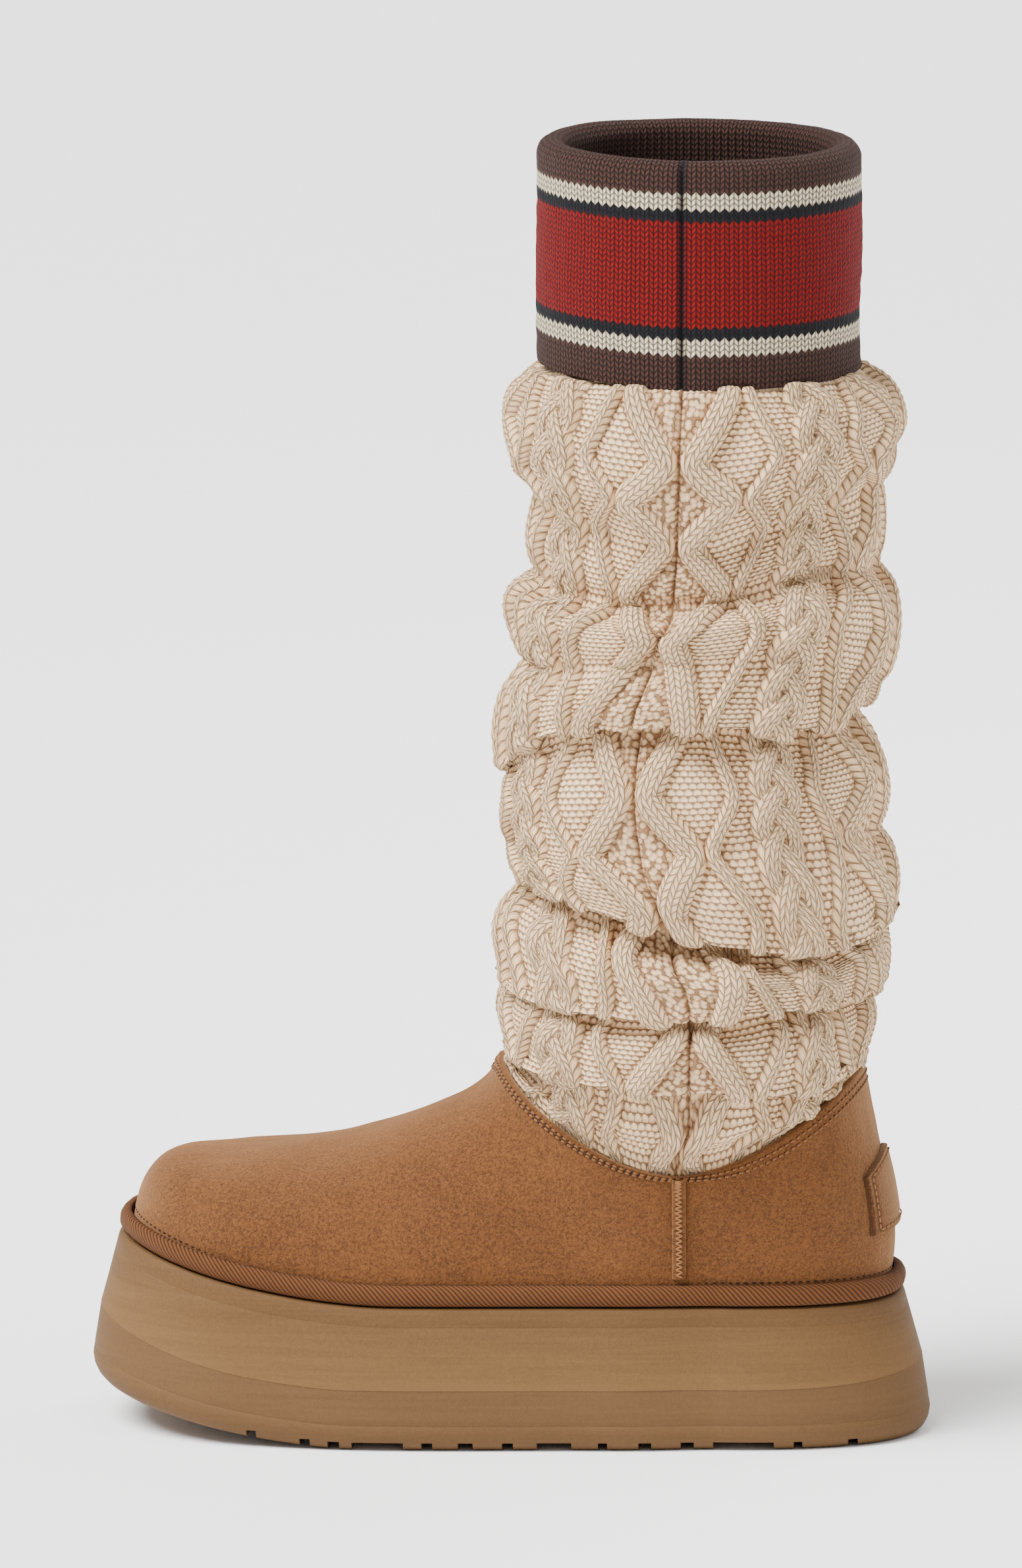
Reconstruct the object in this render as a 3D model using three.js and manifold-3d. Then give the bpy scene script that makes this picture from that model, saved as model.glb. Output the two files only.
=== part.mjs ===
// A left pull-on platform boot: a suede foot, a slouching cable-knit shaft and a striped knit cuff.
// Millimetres, +Z up, toe towards -X, outer (lateral) side towards -Y.
// The origin is on the ground, on the flat of the tread under the middle of the foot.
import * as THREE from "three";
import { mergeVertices } from "three/addons/utils/BufferGeometryUtils.js";
import Module from "manifold-3d";

const wasm = await Module();
wasm.setup();

// Driving dimensions of the foot
const TOE_X = -127.5; // front of the suede
const BALL_HALF_WIDTH = 47;
const HEEL_HALF_WIDTH = 36.5;
const SUEDE_WALL = 2.6;
const FIT_GAP = 0.3; // clearance between pieces that touch

// Driving dimensions of the platform
const PLATFORM_HEIGHT = 47.5;
const LAYER_HEIGHT = 20.5; // where the darker tread layer ends
const LAYER_RISE = 4; // how much higher that line is at the toe and heel
const TOE_SPRING = 15.5; // lift of the tread at the toe
const TOP_SPRING = 16.5; // lift of the platform's top at the toe
const SPRING_START_X = -50;
const TOP_SPRING_START_X = -36;
const SOLE_END_X = 140;
const TOP_LEDGE = 4.4; // how far the platform's top stands out past the suede
const FLARE_ENDS = 13.6; // how far its widest line stands out at toe and heel
const FLARE_SIDES = 9.5; // the same along the sides
const WIDEST_HEIGHT = 6.5;
const TREAD_INSET = 5;
const GROOVE_DEPTH = 3;
const CENTRE_BAR = 34; // width of the bar that the wide grooves leave along the middle

// Driving dimensions of the small pieces of the foot
const WELT_HEIGHT = 7;
const WELT_DEPTH = 3.8;
const INSOLE_THICKNESS = 5;
const SEAM_X = 59.5;
const SEAM_WIDTH = 4.6;
const SEAM_THICKNESS = 1.4;
const PATCH_THICKNESS = 1.7;
const PATCH_HEIGHT = 26;
const PATCH_END_HEIGHT = 21.5;
const PATCH_MIDDLE_Z = 82.4;
const PATCH_HALF_LENGTH = 21.5; // measured straight across the heel
const PATCH_DROP = 1.7; // how far its ends hang below its middle

// Driving dimensions of the collar line, the shaft and the cuff
const LEG_X = 58; // middle of the ankle
const ANKLE_REACH = 60.5; // half its length at the collar line
const COUNTER_SWELL = 1.165; // how much further back the heel stands, as a share of that
const COLLAR_LOW = 91.5; // suede's top edge at the sides
const COLLAR_RISE = 31.5; // how much higher it is at the front and back
const LAP = 9; // how far the knit runs down inside the suede
const KNIT_WALL = 3;
const SHAFT_X = 62.5; // middle of the shaft
const CUFF_BOTTOM = 358.5;
const CUFF_HEIGHT = 75;
const CUFF_RADIUS = 53.6;
const CUFF_WALL = 5;
const CUFF_RIM = 10.5; // thickness of the rolled edge
const CUFF_LAP = 9; // how far the knit runs up inside the cuff

const FOOT_COLUMN_COUNT = 56;
const SHAFT_COLUMN_COUNT = 36;
const UPPER_ROW_COUNT = 11;

// Shape of the foot from toe to waist. at is a share of the foot's forward length, lateral and medial of
// the ball's half width, crest is the height of the ridge over the platform as a share of the instep's.
const FOOT_SECTIONS = [
  { at: 0.0, lateral: 0.86, medial: 0.96, crest: 0.515 },
  { at: 0.1, lateral: 0.9, medial: 0.98, crest: 0.53 },
  { at: 0.2, lateral: 0.94, medial: 1.0, crest: 0.574 },
  { at: 0.33, lateral: 0.985, medial: 0.995, crest: 0.645 },
  { at: 0.45, lateral: 1.01, medial: 0.97, crest: 0.718 },
  { at: 0.58, lateral: 1.0, medial: 0.93, crest: 0.833 },
  { at: 0.73, lateral: 0.955, medial: 0.88, crest: 0.985 },
  { at: 0.9, lateral: 0.89, medial: 0.83, crest: 1.1 },
  { at: 1.1, lateral: 0.8, medial: 0.77, crest: 1.2 },
];
const INSTEP_HEIGHT = 70; // height of the ridge over the platform at crest 1
const FOOT_FORWARD = 170; // the length that the shares in at count
const TOE_ROUND = 46; // length over which the toe rounds off in plan
const TOE_ROUND_UP = 24; // the same in the side view
const SHANK_PAST = 22; // how far behind the ankle's middle the foot's arch runs, inside the ankle
const SHANK_ROUND = 46;

// Sections of the counter and ankle. up is a share of the suede's greatest height over the platform, back and
// front are the reach past the ankle's middle as shares of its reach at the collar line, half is the half
// width as a share of the heel's.
const ANKLE_SECTIONS = [
  { up: 0.0, back: 1.149, front: 0.926, half: 1.0, square: 2.5 },
  { up: 0.238, back: 1.177, front: 0.926, half: 1.04, square: 2.45 },
  { up: 0.45, back: 1.147, front: 0.934, half: 1.08, square: 2.4 },
  { up: 0.689, back: 1.078, front: 0.959, half: 1.15, square: 2.3 },
  { up: 1.007, back: 1.005, front: 1.0, half: 1.29, square: 2.1 },
  { up: 1.457, back: 0.992, front: 1.0, half: 1.42, square: 2.0 },
];
const BLEND = 12; // how softly foot and ankle run together

// Grooves that cross the tread. at is x as a share of the sole's end. wide ones stop at the bar in the middle.
const GROOVES = [
  { at: -0.588, width: 3.3 },
  { at: -0.459, width: 3.5 },
  { at: -0.39, width: 3.9 },
  { at: -0.285, width: 17.2, wide: true },
  { at: -0.167, width: 3.7 },
  { at: -0.076, width: 5 },
  { at: 0.024, width: 3.7 },
  { at: 0.134, width: 11.5, wide: true },
  { at: 0.249, width: 3.1 },
  { at: 0.349, width: 4.3 },
  { at: 0.449, width: 4.4 },
  { at: 0.582, width: 20.2, wide: true },
  { at: 0.711, width: 2.9 },
  { at: 0.839, width: 3.2 },
];

// Folds of the shaft, from the cuff down. Heights are shares of the shaft's own height, from the low
// point of the collar line to the cuff, at the front, front quarter, side, back quarter and back. Radii
// are shares of the cuff's radius: of the crease over the fold, and of the fold's swell, at front, side and
// back. at is where the swell is between two creases, tuck how far the crease hides behind the lip over it.
const FOLDS = [
  { front: 1.012, frontQuarter: 1.004, side: 0.998, backQuarter: 1.002, back: 1.005,
    inFront: 0.985, inSide: 0.985, inBack: 0.985, outFront: 1.18, outSide: 1.165, outBack: 1.25, at: 0.5, tuck: 0 },
  { front: 0.815, frontQuarter: 0.797, side: 0.788, backQuarter: 0.822, back: 0.845,
    inFront: 0.985, inSide: 1.0, inBack: 1.12, outFront: 1.05, outSide: 1.015, outBack: 1.165, at: 0.5, tuck: 1.5 },
  { front: 0.742, frontQuarter: 0.727, side: 0.722, backQuarter: 0.756, back: 0.748,
    inFront: 1.0, inSide: 0.975, inBack: 1.105, outFront: 1.175, outSide: 1.21, outBack: 1.235, at: 0.3, tuck: 1 },
  { front: 0.626, frontQuarter: 0.64, side: 0.66, backQuarter: 0.657, back: 0.618,
    inFront: 1.06, inSide: 1.15, inBack: 1.17, outFront: 1.25, outSide: 1.235, outBack: 1.1, at: 0.62, tuck: 0 },
  { front: 0.485, frontQuarter: 0.553, side: 0.573, backQuarter: 0.56, back: 0.577,
    inFront: 1.155, inSide: 1.02, inBack: 0.925, outFront: 1.23, outSide: 1.18, outBack: 1.185, at: 0.58, tuck: 5 },
  { front: 0.405, frontQuarter: 0.415, side: 0.428, backQuarter: 0.436, back: 0.42,
    inFront: 1.18, inSide: 1.165, inBack: 1.125, outFront: 1.17, outSide: 1.225, outBack: 1.25, at: 0.55, tuck: 0 },
  { front: 0.357, frontQuarter: 0.346, side: 0.309, backQuarter: 0.285, back: 0.307,
    inFront: 1.06, inSide: 0.93, inBack: 1.165, outFront: 1.25, outSide: 1.23, outBack: 1.19, at: 0.45, tuck: 7 },
  { front: 0.222, frontQuarter: 0.212, side: 0.207, backQuarter: 0.217, back: 0.212,
    inFront: 1.18, inSide: 1.02, inBack: 1.02, outFront: 1.23, outSide: 1.165, outBack: 1.09, at: 0.45, tuck: 5 },
  { front: 0.13, frontQuarter: 0.12, side: 0.113, backQuarter: 0.108, back: 0.13,
    inFront: 1.165, inSide: 0.985, inBack: 1.03, outFront: 1.14, outSide: 0.95, outBack: 1.06, at: 0.5, tuck: 4 },
];

// Colours read from the photograph
const FINISHES = {
  suede: { color: 0x8a5a34, roughness: 0.95 },
  binding: { color: 0xa46f40, roughness: 0.9 },
  foam: { color: 0x957350, roughness: 0.8 },
  tread: { color: 0x8a6845, roughness: 0.85 },
  fleece: { color: 0xd9c6a8, roughness: 1 },
  cream: { color: 0xdccab0, roughness: 1 },
  brown: { color: 0x4a3634, roughness: 1 },
};

const lerp = (a, b, t) => a + (b - a) * t;
const clamp01 = (t) => Math.min(1, Math.max(0, t));
const smooth = (t) => clamp01(t) ** 2 * (3 - 2 * clamp01(t));

// A column of a table of sections at any place, as a smooth curve through its rows.
function column(table, key, place, name) {
  const last = table.length - 1;
  if (place <= table[0][key]) return table[0][name];
  if (place >= table[last][key]) return table[last][name];
  let i = 0;
  while (place > table[i + 1][key]) i++;
  const row = (k) => table[Math.min(last, Math.max(0, k))];
  const slope = (k) => (row(k + 1)[name] - row(k - 1)[name]) / (row(k + 1)[key] - row(k - 1)[key]);
  const step = row(i + 1)[key] - row(i)[key];
  const t = (place - row(i)[key]) / step;
  const h = 3 * t * t - 2 * t * t * t;
  const bend = (t ** 3 - 2 * t * t + t) * slope(i) + (t ** 3 - t * t) * slope(i + 1);
  return lerp(row(i)[name], row(i + 1)[name], h) + bend * step;
}

// How much of full size is left, t short of an end that rounds off.
const roundEnd = (t, power) => (t <= 0 ? 1 : (1 - Math.min(t, 0.9999) ** power) ** (1 / power));

// Height of the platform's top and of the tread's bottom along the foot
const topSpring = (x) => TOP_SPRING * clamp01((TOP_SPRING_START_X - x) / (TOP_SPRING_START_X - TOE_X)) ** 1.75;
const treadSpring = (x) => TOE_SPRING * clamp01((SPRING_START_X - x) / (SPRING_START_X + SOLE_END_X)) ** 1.6;
const platformTop = (x) => PLATFORM_HEIGHT + topSpring(x);
const feather = (x) => platformTop(x) + FIT_GAP;

const SUEDE_TALL = COLLAR_LOW + COLLAR_RISE - PLATFORM_HEIGHT;

// Below 0 inside the last, above 0 outside it. The foot is an arch over its plan, the ankle a squared tube.
function last(x, y, z) {
  const at = (x - TOE_X) / FOOT_FORWARD;
  const plan = column(FOOT_SECTIONS, "at", at, y < 0 ? "lateral" : "medial");
  const toe = (TOE_X + TOE_ROUND - x) / TOE_ROUND;
  const shank = (x - (LEG_X + SHANK_PAST - SHANK_ROUND)) / SHANK_ROUND;
  const half = Math.max(0.5, BALL_HALF_WIDTH * plan * roundEnd(toe, 2.3) * roundEnd(shank, 2.3));
  const rise = (TOE_X + TOE_ROUND_UP - x) / TOE_ROUND_UP;
  const arch = Math.max(0.5, INSTEP_HEIGHT * column(FOOT_SECTIONS, "at", at, "crest") * roundEnd(rise, 2.5));
  const up = z - platformTop(x) + topSpring(x) * 0.35;
  const power = 2.35;
  const high = Math.max(0, up) / arch;
  const foot = ((Math.abs(y) / half) ** power + high ** power) ** (1 / power) - 1;
  const over = (z - PLATFORM_HEIGHT) / SUEDE_TALL;
  const back = ANKLE_REACH * column(ANKLE_SECTIONS, "up", over, "back");
  const front = ANKLE_REACH * column(ANKLE_SECTIONS, "up", over, "front");
  const wide = HEEL_HALF_WIDTH * column(ANKLE_SECTIONS, "up", over, "half");
  const square = column(ANKLE_SECTIONS, "up", over, "square");
  const reach = (back + front) / 2;
  const middle = LEG_X + (back - front) / 2;
  const ankle = ((Math.abs(x - middle) / reach) ** square + (Math.abs(y) / wide) ** square) ** (1 / square) - 1;
  const a = Math.max(foot * Math.min(half, arch), TOE_X - x, x - (LEG_X + SHANK_PAST));
  const b = ankle * wide;
  const h = Math.max(BLEND - Math.abs(a - b), 0) / BLEND;
  return Math.min(a, b) - (h * h * BLEND) / 4;
}

// Where a ray from inside the last leaves it.
function leave(from, way) {
  const at = (t) => [from[0] + way[0] * t, from[1] + way[1] * t, from[2] + way[2] * t];
  const step = 2;
  let far = step;
  while (last(...at(far)) < 0 && far < 300) far += step;
  let near = far - step;
  for (let k = 0; k < 24; k++) {
    const middle = (near + far) / 2;
    if (last(...at(middle)) < 0) near = middle;
    else far = middle;
  }
  return at(far);
}

// Height of the suede's top edge: high at the front and back, low at the sides.
const collar = (x) => COLLAR_LOW + COLLAR_RISE * Math.min(1.05, Math.abs((x - LEG_X) / ANKLE_REACH) ** 1.75);

// Angles run from the toe, round the outer side, to the heel. The foot's outline at the platform, spread
// along its length, and the suede's top edge.
const HEEL_X = LEG_X + ANKLE_REACH * COUNTER_SWELL;
const FEATHER_REACH = (HEEL_X - TOE_X) / 2 - BALL_HALF_WIDTH;
const featherFrom = (angle) => [(TOE_X + HEEL_X) / 2 - FEATHER_REACH * Math.cos(angle), 0, 0];
function featherPoint(angle) {
  const from = featherFrom(angle);
  let z = feather(from[0]);
  let point = from;
  for (let k = 0; k < 5; k++) {
    point = leave([from[0], 0, z], [-Math.cos(angle), -Math.sin(angle), 0]);
    z = feather(point[0]);
  }
  return [point[0], point[1], z];
}
function collarPoint(angle) {
  let z = COLLAR_LOW + COLLAR_RISE / 2;
  let point = [LEG_X, 0, z];
  for (let k = 0; k < 12; k++) {
    point = leave([LEG_X, 0, z], [-Math.cos(angle), -Math.sin(angle), 0]);
    z = lerp(z, collar(point[0]), 0.7);
  }
  return [point[0], point[1], z];
}

// The suede's face, from the platform (share 0) up to the collar line (share 1), sampled once. Every
// column has its points spaced evenly along it.
const SKIN_COLUMNS = 3 * FOOT_COLUMN_COUNT;
const SKIN_ROWS = 60;
function skinColumn(angle) {
  const low = featherPoint(angle);
  const high = collarPoint(angle);
  const points = [low];
  for (let k = 1; k < SKIN_ROWS; k++) {
    const t = k / SKIN_ROWS;
    const s = smooth(t);
    const foot = featherFrom(angle);
    const from = [lerp(foot[0], LEG_X, s), 0, lerp(feather(foot[0]) + 1, high[2] - 4, s)];
    const lift = 22 * Math.sin(Math.PI * t) * (0.5 + 0.5 * Math.cos(angle));
    const aim = low.map((v, i) => lerp(v, high[i], t) + (i === 2 ? lift : 0));
    points.push(leave(from, aim.map((v, i) => v - from[i])));
  }
  points.push(high);
  const along = [0];
  for (let k = 1; k <= SKIN_ROWS; k++) {
    along.push(along[k - 1] + Math.hypot(...points[k].map((v, i) => v - points[k - 1][i])));
  }
  const even = [];
  for (let r = 0; r <= SKIN_ROWS; r++) {
    const want = (along[SKIN_ROWS] * r) / SKIN_ROWS;
    let k = 1;
    while (k < SKIN_ROWS && along[k] < want) k++;
    const t = clamp01((want - along[k - 1]) / (along[k] - along[k - 1] || 1));
    even.push(points[k].map((v, i) => lerp(points[k - 1][i], v, t)));
  }
  return even;
}
const sampled = [];
for (let c = 0; c < SKIN_COLUMNS; c++) sampled.push(skinColumn((2 * Math.PI * c) / SKIN_COLUMNS));
function skin(angle, share) {
  const c = ((angle / (2 * Math.PI)) * SKIN_COLUMNS + SKIN_COLUMNS) % SKIN_COLUMNS;
  const r = Math.min(SKIN_ROWS - 1e-6, Math.max(0, share * SKIN_ROWS));
  const [c0, r0] = [Math.floor(c), Math.floor(r)];
  const one = sampled[c0];
  const two = sampled[(c0 + 1) % SKIN_COLUMNS];
  return one[r0].map((v, i) =>
    lerp(lerp(v, one[r0 + 1][i], r - r0), lerp(two[r0][i], two[r0 + 1][i], r - r0), c - c0),
  );
}

// The angle between two others at which the skin passes a value of x (axis 0) or y (axis 1).
function angleWhere(share, axis, value, start, end) {
  const rising = skin(end, share)[axis] > skin(start, share)[axis];
  let [near, far] = [start, end];
  for (let k = 0; k < 30; k++) {
    const middle = (near + far) / 2;
    if (skin(middle, share)[axis] < value === rising) near = middle;
    else far = middle;
  }
  return near;
}

// The skin as rows of points, each row running round.
function skinGrid(rows, columns) {
  const grid = [];
  for (let r = 0; r < rows; r++) {
    const row = [];
    for (let c = 0; c < columns; c++) row.push(skin((2 * Math.PI * c) / columns, r / (rows - 1)));
    grid.push(row);
  }
  return grid;
}

// Moves a grid along its own normals; positive is away from the inside.
function offsetGrid(grid, distance) {
  const rows = grid.length;
  const columns = grid[0].length;
  return grid.map((row, r) =>
    row.map((p, c) => {
      const up = grid[Math.min(rows - 1, r + 1)][c];
      const down = grid[Math.max(0, r - 1)][c];
      const next = row[(c + 1) % columns];
      const previous = row[(c + columns - 1) % columns];
      const a = new THREE.Vector3(...up).sub(new THREE.Vector3(...down));
      const b = new THREE.Vector3(...next).sub(new THREE.Vector3(...previous));
      const normal = b.cross(a).normalize();
      return [p[0] + normal.x * distance, p[1] + normal.y * distance, p[2] + normal.z * distance];
    }),
  );
}

// A closed mesh from loops of points. Loops join one after another, and either the last joins the first
// or both ends are closed by strips across the loop, from each point to the one opposite.
function solidFromLoops(loops, cyclic) {
  const columns = loops[0].length;
  const positions = loops.flat(2);
  const index = [];
  const joins = cyclic ? loops.length : loops.length - 1;
  for (let r = 0; r < joins; r++) {
    const next = (r + 1) % loops.length;
    for (let c = 0; c < columns; c++) {
      const d = (c + 1) % columns;
      const [a, b, e, f] = [r * columns + c, r * columns + d, next * columns + c, next * columns + d];
      const across = (k, l) => Math.hypot(...[0, 1, 2].map((i) => positions[3 * k + i] - positions[3 * l + i]));
      if (across(a, f) <= across(b, e)) index.push(a, b, f, a, f, e);
      else index.push(a, b, e, b, f, e);
    }
  }
  if (!cyclic) {
    for (const [r, turned] of [[0, true], [loops.length - 1, false]]) {
      const cap = (...corners) => index.push(...(turned ? corners.reverse() : corners).map((c) => r * columns + c));
      for (let i = 0, j = columns - 1; i + 1 < j; i++, j--) {
        cap(i, i + 1, j);
        if (i + 1 < j - 1) cap(i + 1, j - 1, j);
      }
    }
  }
  let volume = 0;
  const corner = (k) => new THREE.Vector3(...positions.slice(3 * index[k], 3 * index[k] + 3));
  for (let k = 0; k < index.length; k += 3) volume += corner(k).dot(corner(k + 1).cross(corner(k + 2)));
  if (volume < 0) for (let k = 0; k < index.length; k += 3) [index[k + 1], index[k + 2]] = [index[k + 2], index[k + 1]];
  const geometry = new THREE.BufferGeometry();
  geometry.setAttribute("position", new THREE.Float32BufferAttribute(positions, 3));
  geometry.setIndex(index);
  return geometry;
}

// Booleans
function toSolid(geometry) {
  const bare = geometry.clone();
  bare.deleteAttribute("normal");
  bare.deleteAttribute("uv");
  const merged = mergeVertices(bare, 1e-4);
  return new wasm.Manifold(
    new wasm.Mesh({
      numProp: 3,
      vertProperties: new Float32Array(merged.attributes.position.array),
      triVerts: new Uint32Array(merged.index.array),
    }),
  );
}
function toGeometry(solid) {
  const mesh = solid.getMesh();
  const geometry = new THREE.BufferGeometry();
  geometry.setAttribute("position", new THREE.Float32BufferAttribute(mesh.vertProperties, 3));
  geometry.setIndex(new THREE.BufferAttribute(mesh.triVerts, 1));
  return geometry;
}

// The outline of the platform: the suede's outline moved out, further at toe and heel than at the sides.
const outline = [];
for (let c = 0; c < FOOT_COLUMN_COUNT; c++) outline.push(featherPoint((2 * Math.PI * c) / FOOT_COLUMN_COUNT));
const outward = outline.map((p, c) => {
  const next = outline[(c + 1) % FOOT_COLUMN_COUNT];
  const previous = outline[(c + FOOT_COLUMN_COUNT - 1) % FOOT_COLUMN_COUNT];
  const length = Math.hypot(next[0] - previous[0], next[1] - previous[1]);
  return [-(next[1] - previous[1]) / length, (next[0] - previous[0]) / length].map((v) => -v);
});
const facing = outward[0][0] < 0 ? 1 : -1; // the first point is the toe, where outward is -X
function ring(distanceAt, heightAt) {
  return outline.map((p, c) => {
    const n = outward[c].map((v) => v * facing);
    const x = p[0] + n[0] * distanceAt(n, c);
    return [x, p[1] + n[1] * distanceAt(n, c), heightAt(x, n)];
  });
}
const flare = (n) => lerp(FLARE_SIDES, FLARE_ENDS, n[0] * n[0]);
const layerLine = (x, n) => treadSpring(x) + LAYER_HEIGHT + LAYER_RISE * n[0] * n[0];
const layerOut = (n) => lerp(flare(n), TOP_LEDGE, 0.3);

// The tread layer: flat on the ground from ball to heel, sprung at the toe, its edge rounded under.
function outsole() {
  const height = (up) => (x) => treadSpring(x) + up;
  const loops = [
    ring((n) => flare(n) - TREAD_INSET, height(0)),
    ring((n) => flare(n) - TREAD_INSET * 0.35, height(WIDEST_HEIGHT * 0.28)),
    ring((n) => flare(n), height(WIDEST_HEIGHT)),
    ring(layerOut, layerLine),
  ];
  let solid = toSolid(solidFromLoops(loops, false));
  const reach = 2 * (BALL_HALF_WIDTH + FLARE_ENDS) + 10;
  for (const groove of GROOVES) {
    const tall = 2 * GROOVE_DEPTH + 2;
    const x = SOLE_END_X * groove.at;
    const middle = treadSpring(x) + GROOVE_DEPTH - tall / 2;
    const sides = groove.wide ? [-1, 1] : [0];
    for (const side of sides) {
      const length = groove.wide ? (reach - CENTRE_BAR) / 2 : reach;
      const box = new THREE.BoxGeometry(groove.width, length, tall);
      box.translate(x, side * (CENTRE_BAR / 2 + length / 2), middle);
      solid = solid.subtract(toSolid(box));
    }
  }
  return toGeometry(solid);
}

// The pale foam layer that carries the foot.
function midsole() {
  const lift = (x, n) => layerLine(x, n) + FIT_GAP;
  const loops = [
    ring(layerOut, lift),
    ring((n) => lerp(layerOut(n), TOP_LEDGE, 0.5), (x, n) => lerp(lift(x, n), platformTop(x), 0.5)),
    ring((n) => lerp(layerOut(n), TOP_LEDGE, 0.94), (x, n) => lerp(lift(x, n), platformTop(x), 0.94)),
    ring(() => TOP_LEDGE - 1.2, platformTop),
  ];
  return solidFromLoops(loops, false);
}

// The twill binding round the foot where it meets the platform, a half-round tape.
const WELT_SECTION = [
  { out: 0, up: 0.03 },
  { out: 0.6, up: 0.03 },
  { out: 0.95, up: 0.22 },
  { out: 1, up: 0.5 },
  { out: 0.85, up: 0.8 },
  { out: 0.45, up: 1 },
  { out: 0, up: 1 },
];
function swellOverWelt(c) {
  const column = sampled[(c * SKIN_COLUMNS) / FOOT_COLUMN_COUNT];
  const n = outward[c].map((v) => v * facing);
  const low = column.filter((p) => p[2] < column[0][2] + WELT_HEIGHT + 1);
  return Math.max(...low.map((p) => (p[0] - column[0][0]) * n[0] + (p[1] - column[0][1]) * n[1]));
}
function weltBinding() {
  const loops = WELT_SECTION.map(({ out, up }) =>
    ring((n, c) => swellOverWelt(c) + FIT_GAP + 0.2 + out * WELT_DEPTH, (x) => feather(x) + up * WELT_HEIGHT),
  );
  return solidFromLoops(loops, true);
}

const upperOuter = skinGrid(UPPER_ROW_COUNT, FOOT_COLUMN_COUNT);
const upperInner = offsetGrid(upperOuter, -SUEDE_WALL);
upperInner[0] = upperInner[0].map((p) => [p[0], p[1], feather(p[0])]);

// The suede foot: a shell, open underneath and at its collar line.
function suedeUpper() {
  return solidFromLoops([...upperOuter, ...[...upperInner].reverse()], true);
}

// The insole fills the foot's outline inside the suede.
function insole() {
  const inside = () => -(SUEDE_WALL + 2.4);
  const soft = () => -(SUEDE_WALL + 4.2);
  const height = (up) => (x) => feather(x) + up;
  const loops = [
    ring(inside, height(0)),
    ring(inside, height(INSOLE_THICKNESS * 0.7)),
    ring(soft, height(INSOLE_THICKNESS)),
  ];
  return solidFromLoops(loops, false);
}

// A strip that lies on the suede. angleAt and shareAt place it, from two shares of its own.
function overlay(angleAt, shareAt, across, along, thickness) {
  const loops = [];
  for (let a = 0; a <= across; a++) {
    const under = [];
    const over = [];
    for (let b = 0; b <= along; b++) {
      const share = shareAt(a / across, b / along);
      const angle = angleAt(a / across, share);
      const vector = (d, s) => new THREE.Vector3(...skin(angle + d, share + s));
      const side = vector(0.03, 0).sub(vector(-0.03, 0));
      const up = vector(0, 0.03).sub(vector(0, -0.03));
      const normal = side.cross(up).normalize();
      if (normal.y * vector(0, 0).y + normal.x * (vector(0, 0).x - LEG_X) < 0) normal.negate();
      under.push(vector(0, 0).addScaledVector(normal, FIT_GAP + 0.15).toArray());
      over.push(vector(0, 0).addScaledVector(normal, FIT_GAP + 0.15 + thickness).toArray());
    }
    loops.push([...under, ...over.reverse()]);
  }
  return solidFromLoops(loops, false);
}

// The raised seam down each side, from the collar line to the binding.
function sideSeam(side) {
  const low = (WELT_HEIGHT + 1) / (COLLAR_LOW - PLATFORM_HEIGHT);
  const angleAt = (a, share) => {
    const x = SEAM_X + SEAM_WIDTH * (a - 0.5);
    return angleWhere(share, 0, x, side < 0 ? 1.1 : 2 * Math.PI - 1.1, side < 0 ? 2.9 : 2 * Math.PI - 2.9);
  };
  return overlay(angleAt, (a, b) => lerp(low, 0.985, b), 1, 5, SEAM_THICKNESS);
}

// The blank leather patch on the back of the heel, its ends hanging lower than its middle.
function heelPatch() {
  const half = (a) => lerp(PATCH_HEIGHT, PATCH_END_HEIGHT, (2 * a - 1) ** 2) / 2 / SUEDE_TALL;
  const middle = (PATCH_MIDDLE_Z - PLATFORM_HEIGHT) / SUEDE_TALL;
  const angleAt = (a, share) => angleWhere(share, 1, PATCH_HALF_LENGTH * (2 * a - 1), Math.PI - 1.2, Math.PI + 1.2);
  const shareAt = (a, b) => middle - (PATCH_DROP / SUEDE_TALL) * (2 * a - 1) ** 2 + lerp(-half(a), half(a), b);
  return overlay(angleAt, shareAt, 8, 2, PATCH_THICKNESS);
}

// The height of a fold at an angle from the front: the columns of its row run round the shaft, the inner
// side mirrors the outer one.
const SHAFT_HEIGHT = CUFF_BOTTOM - COLLAR_LOW;
const QUARTERS = [
  { angle: 0, name: "front" },
  { angle: Math.PI / 4, name: "frontQuarter" },
  { angle: Math.PI / 2, name: "side" },
  { angle: (Math.PI * 3) / 4, name: "backQuarter" },
  { angle: Math.PI, name: "back" },
];
const turned = (angle) => Math.PI - Math.abs(Math.PI - (angle % (2 * Math.PI)));
function foldHeight(fold, angle) {
  const table = QUARTERS.map(({ angle: at, name }) => ({ at, height: fold[name] }));
  table.unshift({ at: -Math.PI / 4, height: fold.frontQuarter });
  table.push({ at: (Math.PI * 5) / 4, height: fold.backQuarter });
  return COLLAR_LOW + SHAFT_HEIGHT * column(table, "at", turned(angle), "height");
}
function foldRadius(fold, angle, prefix) {
  const c = Math.cos(angle);
  const share = c > 0
    ? lerp(fold[prefix + "Side"], fold[prefix + "Front"], c * c)
    : lerp(fold[prefix + "Side"], fold[prefix + "Back"], c * c);
  return CUFF_RADIUS * share;
}
const shaftPoint = (angle, radius, z) => [SHAFT_X - radius * Math.cos(angle), -radius * Math.sin(angle), z];

// The shaft's foot: where the knit goes down inside the suede.
function tuckPoint(angle, inwards, drop) {
  const p = collarPoint(angle);
  const length = Math.hypot(p[0] - LEG_X, p[1]);
  const k = (length - inwards) / length;
  return [LEG_X + (p[0] - LEG_X) * k, p[1] * k, p[2] - drop];
}
const OUTSIDE = SUEDE_WALL + FIT_GAP + 1.3; // from the suede's face to the knit's face inside it

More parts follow.
